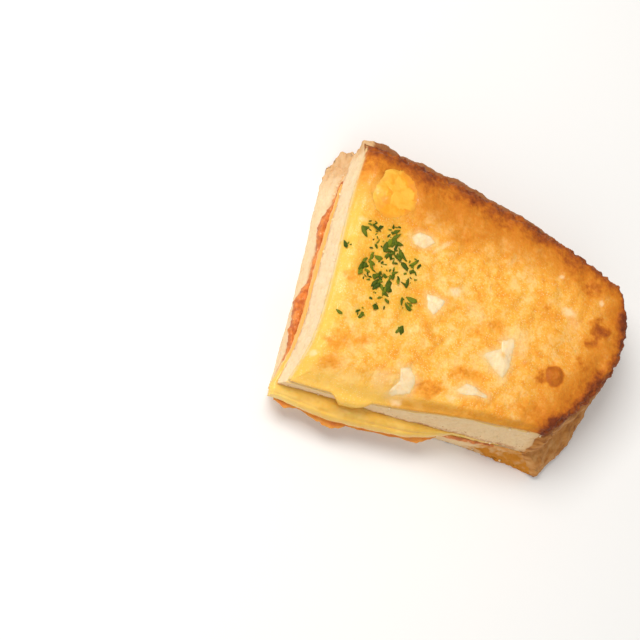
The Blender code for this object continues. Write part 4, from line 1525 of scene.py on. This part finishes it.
class TOAST_OT_topping(bpy.types.Operator):
    """Builds the baked egg and cheese topping"""

    bl_idname = "toast.topping"
    bl_label = "Topping"

    def execute(self, context):
        look = context.scene.toast_topping
        na, nb, nw = TOPPING_FIELDS
        steps = hanging_steps(DRIP_SHARE, *nb)
        shares, faces = block_net(even(na), steps, plain(nw), 1, CAP_STEP)
        a, b, w = shares.T
        points = topping_layer(a, b, w, TOPPING_SUNK)
        painted, height = self.paint(points, a, b, w, look)
        points = raised(points, faces, height * smooth(w / 0.5))
        piece = new_piece("baked_topping", points, faces, topping_finish(look), painted)
        stand_for(piece, "topping", "egg_cheese_topping")
        return {"FINISHED"}

    def paint(self, points, a, b, w, look):
        """The shares for the finish, and how far the relief lifts each point."""
        inner, over = hanging(b, DRIP_SHARE)
        u, v = spread(a), spread(inner)
        spots = points[:, :2]
        to_far, to_right = depth_mm(1 - v), width_mm(1 - u)
        ragged = rough(points, 4 * MM, 51) * 0.9
        brown, blister = self.browned(points, to_far, to_right, ragged)
        by_left = 1 - smooth((width_mm(u) - 0.5 + ragged) / 6)
        by_front = (1 - smooth((depth_mm(v) - 1 + ragged) / 6)) * (u < 0.6)
        yellow = np.maximum(np.maximum(by_left, by_front) * (1 - brown), smooth(over * 3))
        drip = np.clip(1.3 * hump((spots[:, 0] - DRIP_PLACE) / DRIP_HALF_WIDTH), 0, 1)
        side = np.maximum(at_start(a), at_start(b) * (1 - drip))
        # The share of darker gold: painted shade on the front edge, on the front side wall (much
        # less on the left one) and on the drip's lower end, which face away from the light, and the
        # colour of the topping where it runs thin.
        front_edge = 1 - smooth((depth_mm(v) - 1.4 + 0.6 * ragged) / 2.8)
        thin = front_edge * (1 - drip) * smooth((spots[:, 0] / MM - 22) / 10)
        thin = np.maximum(thin, mixed(0.6, 0.12, at_start(a)) * side)
        thin = np.maximum(thin, 0.45 * smooth((over - 0.55) / 0.45))
        pocket, ringed, covered = self.egg_places(spots)
        yellow = np.maximum(yellow, covered)
        herbs = [(at, (halves[0] + 1.5, halves[1] + 1.5), turn, 1.0)
                 for at, halves, turn, _ in PARSLEY_PATCHES]
        painted = {
            "brown": brown,
            "baked_and_shaded": self.baked_and_shaded(u, to_far, to_right, ragged),
            "pale": np.maximum(patch_share(spots, PALE_PATCHES, 0.45, 1.6), ringed),
            "yellow": yellow,
            "herby": patch_share(spots, herbs),
            "bare": side * (1 - smooth((w - 0.3) / 0.4)),
            "thin": thin,
            "even": blister,
        }
        rim = 1 - smooth(np.minimum(to_far, to_right) / 4.5)
        height = self.relief(points, rim, 1 - 0.6 * yellow, look)
        height *= smooth(to_cut_edge(u, v) / MM / 1.2 + 0.35)
        return painted, height - look.pocket_depth * pocket * (over < 0.01)

    def browned(self, points, to_far, to_right, ragged):
        """How browned it is, at the rim, in patches and on the bubble; and the bubble alone."""
        spots = points[:, :2]
        brown = patch_share(spots, BROWN_PATCHES, 0.45, 3.0)
        along = rough(points, 8 * MM, 53, 2)
        for distance, (share, start, reach, power) in (
            (to_far, FAR_BROWNING), (to_right, RIGHT_BROWNING),
        ):
            past = np.maximum(0, distance - start + 1.2 * ragged + 1.4 * along) / reach
            brown = np.maximum(brown, (share - 0.12 * along) * np.exp(-past**power))
        from_bubble = np.linalg.norm(spots / MM - BUBBLE_PLACE, axis=1) + 0.5 * ragged
        blister = 1 - smooth((from_bubble - 0.8 * BUBBLE_RADIUS) / 0.9)
        on_bubble = 0.56 * blister + 0.14 * hump((from_bubble - 2.2) / 0.9)
        return np.maximum(brown, on_bubble), blister

    def baked_and_shaded(self, u, to_far, to_right, ragged):
        """How deep a gold it is baked towards the far and the right crust, with painted shade that
        darkens it towards the right across its whole width.
        """
        leftward = 1 - smooth((u - 0.30) / 0.35)
        start, reach = mixed(3.5, 6, leftward), mixed(12, 14, leftward)
        by_far = 1 - smooth((to_far + 1.5 * ragged - start) / reach)
        by_far *= mixed(0.45, 1, smooth((width_mm(u) - 1 + 1.5 * ragged) / 9))
        baked_and_shaded = np.maximum(by_far, 0.95 * (1 - smooth((to_right + 1.5 * ragged - 4) / 17)))
        # Painted shade: a broad darkening towards the right over the whole width, as the light from
        # the left falls off.
        return np.maximum(baked_and_shaded, 0.45 * (1 - smooth(to_right / 36)))

    def egg_places(self, spots):
        """Where egg lies in a pocket, where it shows palely, and where the yolk is covered."""
        pocket, ringed = np.zeros(len(spots)), np.zeros(len(spots))
        for name, outline, _ in egg_outlines():
            inside = outline_distance(spots, outline) / MM
            hollow = smooth((inside - 0.6) / 0.8)
            if name == EGG_YOLK[0]:
                covered = yolk_cover(spots)
                over_yolk = covered * hollow
                hollow *= 1 - covered
            else:
                ringed = np.maximum(ringed, 0.30 * smooth((inside + 1.5) / 1.9))
            pocket = np.maximum(pocket, hollow)
        return pocket, ringed, over_yolk

    def relief(self, points, rim, calm, look):
        """How far waves, bubbles, crags and the single spots lift each point."""
        away, own = cells(points, look.bubble_size, 44)
        bubbles = (1 - smooth(away / 0.75)) * smooth((own - 0.3) / 0.4)
        height = topping_waves(points, look) + look.bubble_height * bubbles * calm
        height += TOPPING_GRAIN * rough(points, 0.8 * MM, 45) * calm
        height += look.crag_height * rim * (rough(points, 1.9 * MM, 46) + 0.1)
        return height + self.spots_relief(points[:, :2])

    def spots_relief(self, spots):
        """The browned bubble, the small ring and the lump on the rim."""
        from_bubble, from_ring, from_lump = (
            np.linalg.norm(spots / MM - at, axis=1)
            for at in (BUBBLE_PLACE, RING_PLACE, RIM_LUMP_PLACE)
        )
        wrinkled = 0.12 * MM * rough(np.column_stack([spots, spots[:, 0] * 0]), 1.2 * MM, 61)
        bubble = (BUBBLE_HEIGHT + wrinkled * 2) * (1 - smooth(from_bubble / BUBBLE_RADIUS - 0.1))
        ring = RING_HEIGHT * hump((from_ring - RING_RADIUS) / 0.6)
        lump = RIM_LUMP_HEIGHT * (1 - smooth(from_lump / RIM_LUMP_RADIUS))
        return bubble + ring + lump


class TOAST_OT_egg(bpy.types.Operator):
    """Builds the pieces of egg white and the yolk, which lie in the topping"""

    bl_idname = "toast.egg"
    bl_label = "Egg"

    def execute(self, context):
        look = context.scene.toast_egg
        waves = context.scene.toast_topping
        surface = plain_topping()
        white, yolk = egg_finish("egg_white", look, False), egg_finish("egg_yolk", look, True)
        for name, outline, rise in egg_outlines():
            is_yolk = name == EGG_YOLK[0]
            piece = self.piece(name, outline, rise, surface, waves, yolk if is_yolk else white)
            stand_for(piece, "egg_yolk" if is_yolk else "egg_white", name)
        return {"FINISHED"}

    def rim(self, centre, ways, outline):
        """How far the hidden rim lies from the centre along each way."""
        steps = np.arange(0.2, 12, 0.05) * MM
        radii = []
        for way in ways:
            inside = outline_distance(centre + steps[:, None] * way, outline) > 0
            radii.append(steps[np.argmin(inside)])
        radii = np.array(radii) * EGG_HIDDEN_RIM
        for _ in range(2):
            radii = (np.roll(radii, 1) + 2 * radii + np.roll(radii, -1)) / 4
        return radii

    def piece(self, name, outline, rise, surface, waves, finish):
        """A flat lump with a broken outline, whose upper face follows the topping."""
        rings, spokes = EGG_RINGS, EGG_SPOKES
        centre = np.mean(np.array(outline), axis=0) * MM
        turns = np.linspace(0, 2 * math.pi, spokes, endpoint=False)
        ways = np.column_stack([np.cos(turns), np.sin(turns)])
        radii = self.rim(centre, ways, outline)
        shares = np.concatenate([np.arange(1, rings + 1), np.arange(rings - 1, 0, -1)]) / rings
        rows = [centre + ways * (radii * share)[:, None] for share in shares]
        spots = np.concatenate([[centre], *rows, [centre]])
        share = np.concatenate([[0], np.repeat(shares, spokes), [0]])
        upper = np.arange(len(spots)) <= rings * spokes
        ground = np.array([below(surface, x, y)[0].z for x, y in spots])
        points = np.column_stack([spots, ground])
        points[:, 2] += topping_waves(points, waves)
        leftward = yolk_cover(spots) * (name == EGG_YOLK[0])
        bent = points + 0.8 * MM * ripple(points, 2.5 * MM, 72)[:, None]
        _, facet = cells(bent * (1, 1, 0), 3.0 * MM, 73)
        proud = rise * (1 - YOLK_COVER_FALL * leftward) * MM
        top = EGG_SUNK + (proud - EGG_SUNK) * (1 - share**2.6)
        top += EGG_GRAIN * rough(points, 1.5 * MM, 71) * (1 - share**4)
        top += EGG_FACETS * (facet - 0.5) * (1 - share**4)
        base = EGG_SUNK - EGG_DEPTH * (1 - share**5)
        points[:, 2] += np.where(upper, top, base)
        away = np.linalg.norm(spots - centre, axis=1) / MM
        painted = {
            "facet": facet,
            "rim": smooth((share - 0.66) / 0.24) * upper * (1 - leftward),
            "veiled": leftward * smooth((share - 0.1) / 0.5),
            "middle": (1 - smooth(away / 1.2)) * (name == "egg_white_1"),
        }
        return new_piece(name + "_piece", points, self.faces(rings, spokes), finish, painted)

    def faces(self, rings, spokes):
        """Rows of quads between a fan of triangles at the top and one at the base."""
        ring = np.arange(spokes)
        after = np.roll(ring, -1)
        rows = 2 * rings - 1
        quads = []
        for k in range(rows - 1):
            row, next_row = 1 + k * spokes, 1 + (k + 1) * spokes
            corners = [row + ring, next_row + ring, next_row + after, row + after]
            quads.append(np.column_stack(corners))
        last = 1 + rows * spokes
        top = np.column_stack([ring * 0, 1 + ring, 1 + after])
        base = np.column_stack([ring * 0 + last, last - spokes + after, last - spokes + ring])
        return [np.concatenate(quads), np.concatenate([top, base])]


# ---------------------------------------------------------------------------- parsley


def leaf_shapes(thickness):
    """A few torn bits of leaf, about 1 long before they are scaled."""
    draw = random.Random(5)
    shapes = bpy.data.collections.new("leaf_shapes")
    for number in range(LEAF_KINDS):
        corners = 7 + number % 3
        turns = [2 * math.pi * (k + draw.uniform(-0.3, 0.3)) / corners for k in range(corners)]
        reach = [draw.uniform(0.32, 0.56) for _ in turns]
        rim = np.array([(r * math.cos(t), r * math.sin(t) * 0.8) for t, r in zip(turns, reach)])
        curl, fold = draw.uniform(0.15, 0.5), draw.uniform(-0.3, 0.3)
        flat = np.concatenate([[(0, 0)], rim * 0.55, rim])
        bent = curl * flat[:, 0] ** 2 + fold * flat[:, 0] * flat[:, 1]
        thin = 0.5 * np.concatenate([[1.0], np.full(corners, 0.9), np.full(corners, 0.35)])
        top = np.column_stack([flat, bent + thin * thickness])
        base = np.column_stack([flat, bent - thin * thickness])
        count = len(flat)
        faces = []
        for k in range(corners):
            after = (k + 1) % corners
            inner, outer = (1 + k, 1 + after), (1 + corners + k, 1 + corners + after)
            faces.append((0, inner[0], inner[1]))
            faces.append((inner[0], outer[0], outer[1], inner[1]))
            faces.append((count, count + inner[1], count + inner[0]))
            faces.append((count + inner[0], count + inner[1], count + outer[1], count + outer[0]))
            faces.append((outer[0], count + outer[0], count + outer[1], outer[1]))
        mesh = bpy.data.meshes.new(f"leaf_{number}")
        mesh.from_pydata(np.concatenate([top, base]).tolist(), [], faces)
        mesh.shade_smooth()
        shapes.objects.link(bpy.data.objects.new(f"leaf_{number}", mesh))
    return shapes


def parsley_finish(look):
    """Dull green leaf, lighter in places."""
    f = Finish("parsley")
    tone, veins = f.share("tone"), f.grain(0.5 * MM, 3)
    colour = f.blend((tone * 0.9).shifted(veins, 0.8).held(), look.dark, look.light)
    f.set(Base_Color=colour, Roughness=0.5 + veins * 0.2, Normal=f.bump(veins, 0.1 * MM, 0.5))
    return f.soft(0.1, (0.6, 1.0, 0.1), 0.4 * MM, Specular_IOR_Level=0.15)


def placed_growth():
    """A tree that puts a shape on every point, as the point's own kind, turn and size say."""
    g = Growth("placed_shapes")
    g.put_on(g.given["Geometry"], {
        "Instance Index": g.own("kind", "INT"), "Rotation": g.own("turn", "FLOAT_VECTOR"),
        "Scale": g.own("size", "FLOAT_VECTOR"),
    })
    return g


class TOAST_OT_parsley(bpy.types.Operator):
    """Scatters parsley on the topping and in the left cut"""

    bl_idname = "toast.parsley"
    bl_label = "Parsley"

    def execute(self, context):
        look = context.scene.toast_parsley
        draw = random.Random(look.seed)
        rows = self.on_topping(draw) + self.in_cut(draw)
        seeds = bpy.data.meshes.new("parsley_places")
        seeds.from_pydata([row[0] for row in rows], [], [])
        for title, kind, column, field in (
            ("turn", "FLOAT_VECTOR", 1, "vector"), ("size", "FLOAT_VECTOR", 2, "vector"),
            ("kind", "INT", 3, "value"), ("tone", "FLOAT", 4, "value"),
        ):
            layer = seeds.attributes.new(title, kind, "POINT")
            layer.data.foreach_set(field, np.array([row[column] for row in rows]).ravel())
        holder = added("parsley_places", seeds)
        made = placed_growth().grow(holder, "parsley", Shapes=leaf_shapes(look.thickness),
                                    Finish=parsley_finish(look))
        bpy.data.objects.remove(holder)
        stand_for(made, "topping")
        return {"FINISHED"}

    def on_topping(self, draw):
        """Rows of place, turn, size, kind and tone for the flakes on the topping."""
        topping = bpy.data.objects["baked_topping"].data
        surface = BVHTree.FromPolygons([v.co[:] for v in topping.vertices],
                                       [p.vertices[:] for p in topping.polygons])
        eggs = [outline for _, outline, _ in egg_outlines()]
        rows, taken = [], []
        for (x, y), (half_x, half_y), turn, count in PARSLEY_PATCHES:
            for number in range(count * 5):
                radius, angle = math.sqrt(draw.random()), draw.uniform(0, 2 * math.pi)
                offset = Matrix.Rotation(math.radians(turn), 2) @ Vector(
                    (half_x * radius * math.cos(angle), half_y * radius * math.sin(angle)))
                spot = np.array((x + offset.x, y + offset.y)) * MM
                big = number < count * 2.0
                room, shortest, longest = BIG_FLAKES if big else SMALL_FLAKES
                crowded = any(np.linalg.norm(spot - other) < room * MM for other in taken)
                if crowded or any(outline_distance(spot[None], o)[0] > -0.6 * MM for o in eggs):
                    continue
                taken.append(spot)
                hit, normal = below(surface, *(spot - PLAN_MIDDLE[:2]))
                rows.append(self.flake(draw, hit, normal, shortest, longest))
        return rows

    def flake(self, draw, hit, normal, shortest, longest):
        """The row for a flake that lies a little tilted on the topping."""
        length = draw.uniform(shortest, longest)
        size = (length * MM, length * draw.uniform(0.4, 0.75) * MM, length * 0.5 * MM)
        tilt = Matrix.Rotation(draw.uniform(-0.4, 0.4), 3, "X")
        tilt = tilt @ Matrix.Rotation(draw.uniform(-0.35, 0.35), 3, "Y")
        spin = Matrix.Rotation(draw.uniform(0, 2 * math.pi), 3, "Z")
        turned = normal.to_track_quat("Z", "Y").to_matrix() @ tilt @ spin
        lift = draw.uniform(0.10, 0.30) * MM
        return (tuple(hit + normal * lift), tuple(turned.to_euler()), size,
                draw.randrange(LEAF_KINDS), draw.random() ** 1.3)

    def in_cut(self, draw):
        """Rows for the specks between the cheese and the upper slice at the left cut."""
        rows = []
        for v in CUT_FLAKES:
            spot = place(UPPER_PLAN, np.array([0.0]), np.array([v]))
            z = cheese_top(spot)[0] + draw.uniform(-0.6, 1.2) * MM
            point = np.array((spot[0, 0] - 0.30 * MM, spot[0, 1], z)) - PLAN_MIDDLE
            length = draw.uniform(0.6, 1.1)
            size = (length * MM, length * 0.6 * MM, length * 0.5 * MM)
            turn = (draw.uniform(-0.5, 0.5), math.pi / 2 + draw.uniform(-0.4, 0.4),
                    draw.uniform(0, 3))
            rows.append((tuple(point), turn, size, draw.randrange(LEAF_KINDS), 0.4))
        return rows


# ---------------------------------------------------------------------------- crumbs


def crumb_shapes():
    """A few small lumps, about 1 across before they are scaled."""
    shapes = bpy.data.collections.new("crumb_shapes")
    for number in range(CRUMB_KINDS):
        bpy.ops.mesh.primitive_ico_sphere_add(subdivisions=2, radius=0.5)
        lump = bpy.context.active_object
        lump.name = f"lump_{number}"
        for vertex in lump.data.vertices:
            vertex.co *= 1 + 0.5 * noise.noise(vertex.co * 3 + Vector((number * 5.0, 0, 0)))
        for holder in list(lump.users_collection):
            holder.objects.unlink(lump)
        lump.data.shade_smooth()
        shapes.objects.link(lump)
    return shapes


def crumb_growth():
    """A tree that scatters crumbs where a piece's own share says that it is cut."""
    g = Growth("scattered_crumbs", Density="Float", Smallest="Float", Largest="Float", Seed="Int")
    given = g.given
    scattered = g.node("GeometryNodeDistributePointsOnFaces", None, {
        "Mesh": given["Geometry"], "Selection": g.own("loose"), "Density": given["Density"],
        "Seed": given["Seed"],
    })
    size = g.node("FunctionNodeRandomValue", {"data_type": "FLOAT"}, {
        2: given["Smallest"], 3: given["Largest"], "Seed": given["Seed"],
    })
    turn = g.node("FunctionNodeRandomValue", {"data_type": "FLOAT_VECTOR"}, {
        0: (0.0, 0.0, 0.0), 1: (6.28, 6.28, 6.28), "Seed": given["Seed"],
    })
    g.put_on(scattered.outputs[0], {"Rotation": turn.outputs[0], "Scale": size.outputs[1]})
    return g


def crumb_finish(look):
    """Small loose crumbs of bread."""
    f = Finish("loose_crumb")
    mottle, fine = f.grain(1.2 * MM, 3), f.grain(0.3 * MM, 3)
    colour = f.blend(mottle.above(0.4, 0.7), look.crumb, look.crumb_shade)
    f.set(Base_Color=colour, Roughness=0.85 + fine * 0.1, Normal=f.bump(fine, 0.1 * MM, 0.5))
    return f.soft(0.2, (1.0, 0.6, 0.3), 0.8 * MM)


class TOAST_OT_crumbs(bpy.types.Operator):
    """Scatters torn crumbs on the cut faces of both slices"""

    bl_idname = "toast.crumbs"
    bl_label = "Crumbs"

    def execute(self, context):
        look = context.scene.toast_bread
        tree, shapes, finish = crumb_growth(), crumb_shapes(), crumb_finish(look)
        for number, name in enumerate(("lower_slice", "upper_slice")):
            made = tree.grow(bpy.data.objects[name], name + "_crumbs", Shapes=shapes,
                             Finish=finish, Density=look.crumb_density,
                             Smallest=look.crumb_size * 0.4, Largest=look.crumb_size,
                             Seed=look.crumb_seed + number)
            stand_for(made, "crumb")
        return {"FINISHED"}


# ---------------------------------------------------------------------------- stage


class TOAST_OT_stage(bpy.types.Operator):
    """Sets up the pale floor, the soft light and the camera"""

    bl_idname = "toast.stage"
    bl_label = "Stage"

    def execute(self, context):
        look = context.scene.toast_stage
        self.floor(look)
        for name, way, away, size, power in (
            ("key_light", (-0.46, 0.22, 0.86), 0.55, 0.26, look.key),
            ("fill_light", (-0.25, -0.75, 0.75), 0.75, 0.8, look.fill),
        ):
            self.light(name, Vector(way), away, size, power, look.lamp)
        world = bpy.data.worlds.new("soft_room")
        world.use_nodes = True
        shines = world.node_tree.nodes["Background"].inputs
        shines[0].default_value = (*look.room, 1)
        shines[1].default_value = look.sky
        context.scene.world = world
        context.scene.view_settings.view_transform = "Standard"
        self.camera(look)
        return {"FINISHED"}

    def floor(self, look):
        """A wide pale sheet a hair below the toast."""
        ends = np.array([(-1, -1), (1, -1), (1, 1), (-1, 1)]) * FLOOR_REACH
        points = np.column_stack([ends, np.full(4, -FLOOR_CLEARANCE)])
        f = Finish("pale_floor")
        colour = f.blend(f.grain(0.05, 2) * 0.3, look.floor, look.floor_shade)
        mesh = bpy.data.meshes.new("floor")
        mesh.from_pydata(points.tolist(), [], [(0, 1, 2, 3)])
        mesh.materials.append(f.set(Base_Color=colour, Roughness=0.9))
        added("floor", mesh)

    def light(self, name, way, away, size, power, colour):
        """A square soft light that shines on the toast from the way given."""
        data = bpy.data.lights.new(name, "AREA")
        data.size = size
        data.energy = power
        data.color = colour
        lamp = added(name, data)
        lamp.location = way.normalized() * away + Vector((0, 0, LAMP_AIM_HEIGHT))
        lamp.rotation_euler = way.to_track_quat("Z", "Y").to_euler()

    def camera(self, look):
        """A long lens that looks down on the near corner, with the camera rolled over."""
        azimuth, elevation, roll = (math.radians(angle) for angle in CAMERA_TURNS)
        flat = math.cos(elevation)
        back = Vector((math.sin(azimuth) * flat, -math.cos(azimuth) * flat, math.sin(elevation)))
        upright = (Vector((0, 0, 1)) - back * back.z).normalized()
        right = upright.cross(back)
        up = upright * math.cos(roll) + right * math.sin(roll)
        turned = Matrix((up.cross(back), up, back)).transposed()
        data = bpy.data.cameras.new("camera")
        data.lens = look.lens
        data.sensor_width = 36
        data.clip_start, data.clip_end = 0.01, 20
        camera = added("camera", data)
        spot = Vector(CAMERA_AIM) * MM + back * look.distance
        camera.matrix_world = Matrix.Translation(spot) @ turned.to_4x4()
        bpy.context.scene.camera = camera


class TOAST_PT_panel(bpy.types.Panel):
    """Lists the toast's pieces and their settings"""

    bl_idname = "TOAST_PT_panel"
    bl_label = "Egg Pizza Toast"
    bl_space_type = "VIEW_3D"
    bl_region_type = "UI"
    bl_category = "Toast"

    def draw(self, context):
        for operators, group in PANEL_ROWS:
            box = self.layout.box()
            for operator in operators:
                box.operator(operator.bl_idname)
            look = getattr(context.scene, group)
            for title in look.bl_rna.properties.keys():
                if title not in ("rna_type", "name"):
                    box.prop(look, title)


SETTINGS = {
    "toast_bread": BreadSettings,
    "toast_filling": FillingSettings,
    "toast_topping": ToppingSettings,
    "toast_egg": EggSettings,
    "toast_parsley": ParsleySettings,
    "toast_stage": StageSettings,
}
PANEL_ROWS = (
    ((TOAST_OT_bread, TOAST_OT_crumbs), "toast_bread"),
    ((TOAST_OT_filling,), "toast_filling"),
    ((TOAST_OT_topping,), "toast_topping"),
    ((TOAST_OT_egg,), "toast_egg"),
    ((TOAST_OT_parsley,), "toast_parsley"),
    ((TOAST_OT_stage,), "toast_stage"),
)
OPERATORS = (
    TOAST_OT_bread, TOAST_OT_filling, TOAST_OT_topping, TOAST_OT_egg, TOAST_OT_parsley,
    TOAST_OT_crumbs, TOAST_OT_stage,
)


def register():
    for group in SETTINGS.values():
        bpy.utils.register_class(group)
    for title, group in SETTINGS.items():
        setattr(bpy.types.Scene, title, PointerProperty(type=group))
    for operator in OPERATORS:
        bpy.utils.register_class(operator)
    bpy.utils.register_class(TOAST_PT_panel)


def unregister():
    bpy.utils.unregister_class(TOAST_PT_panel)
    for operator in reversed(OPERATORS):
        bpy.utils.unregister_class(operator)
    for title, group in SETTINGS.items():
        delattr(bpy.types.Scene, title)
        bpy.utils.unregister_class(group)


def main():
    register()
    bpy.ops.toast.bread()
    bpy.ops.toast.filling()
    bpy.ops.toast.topping()
    bpy.ops.toast.egg()
    bpy.ops.toast.parsley()
    bpy.ops.toast.crumbs()
    bpy.ops.toast.stage()


if __name__ == "__main__":
    main()
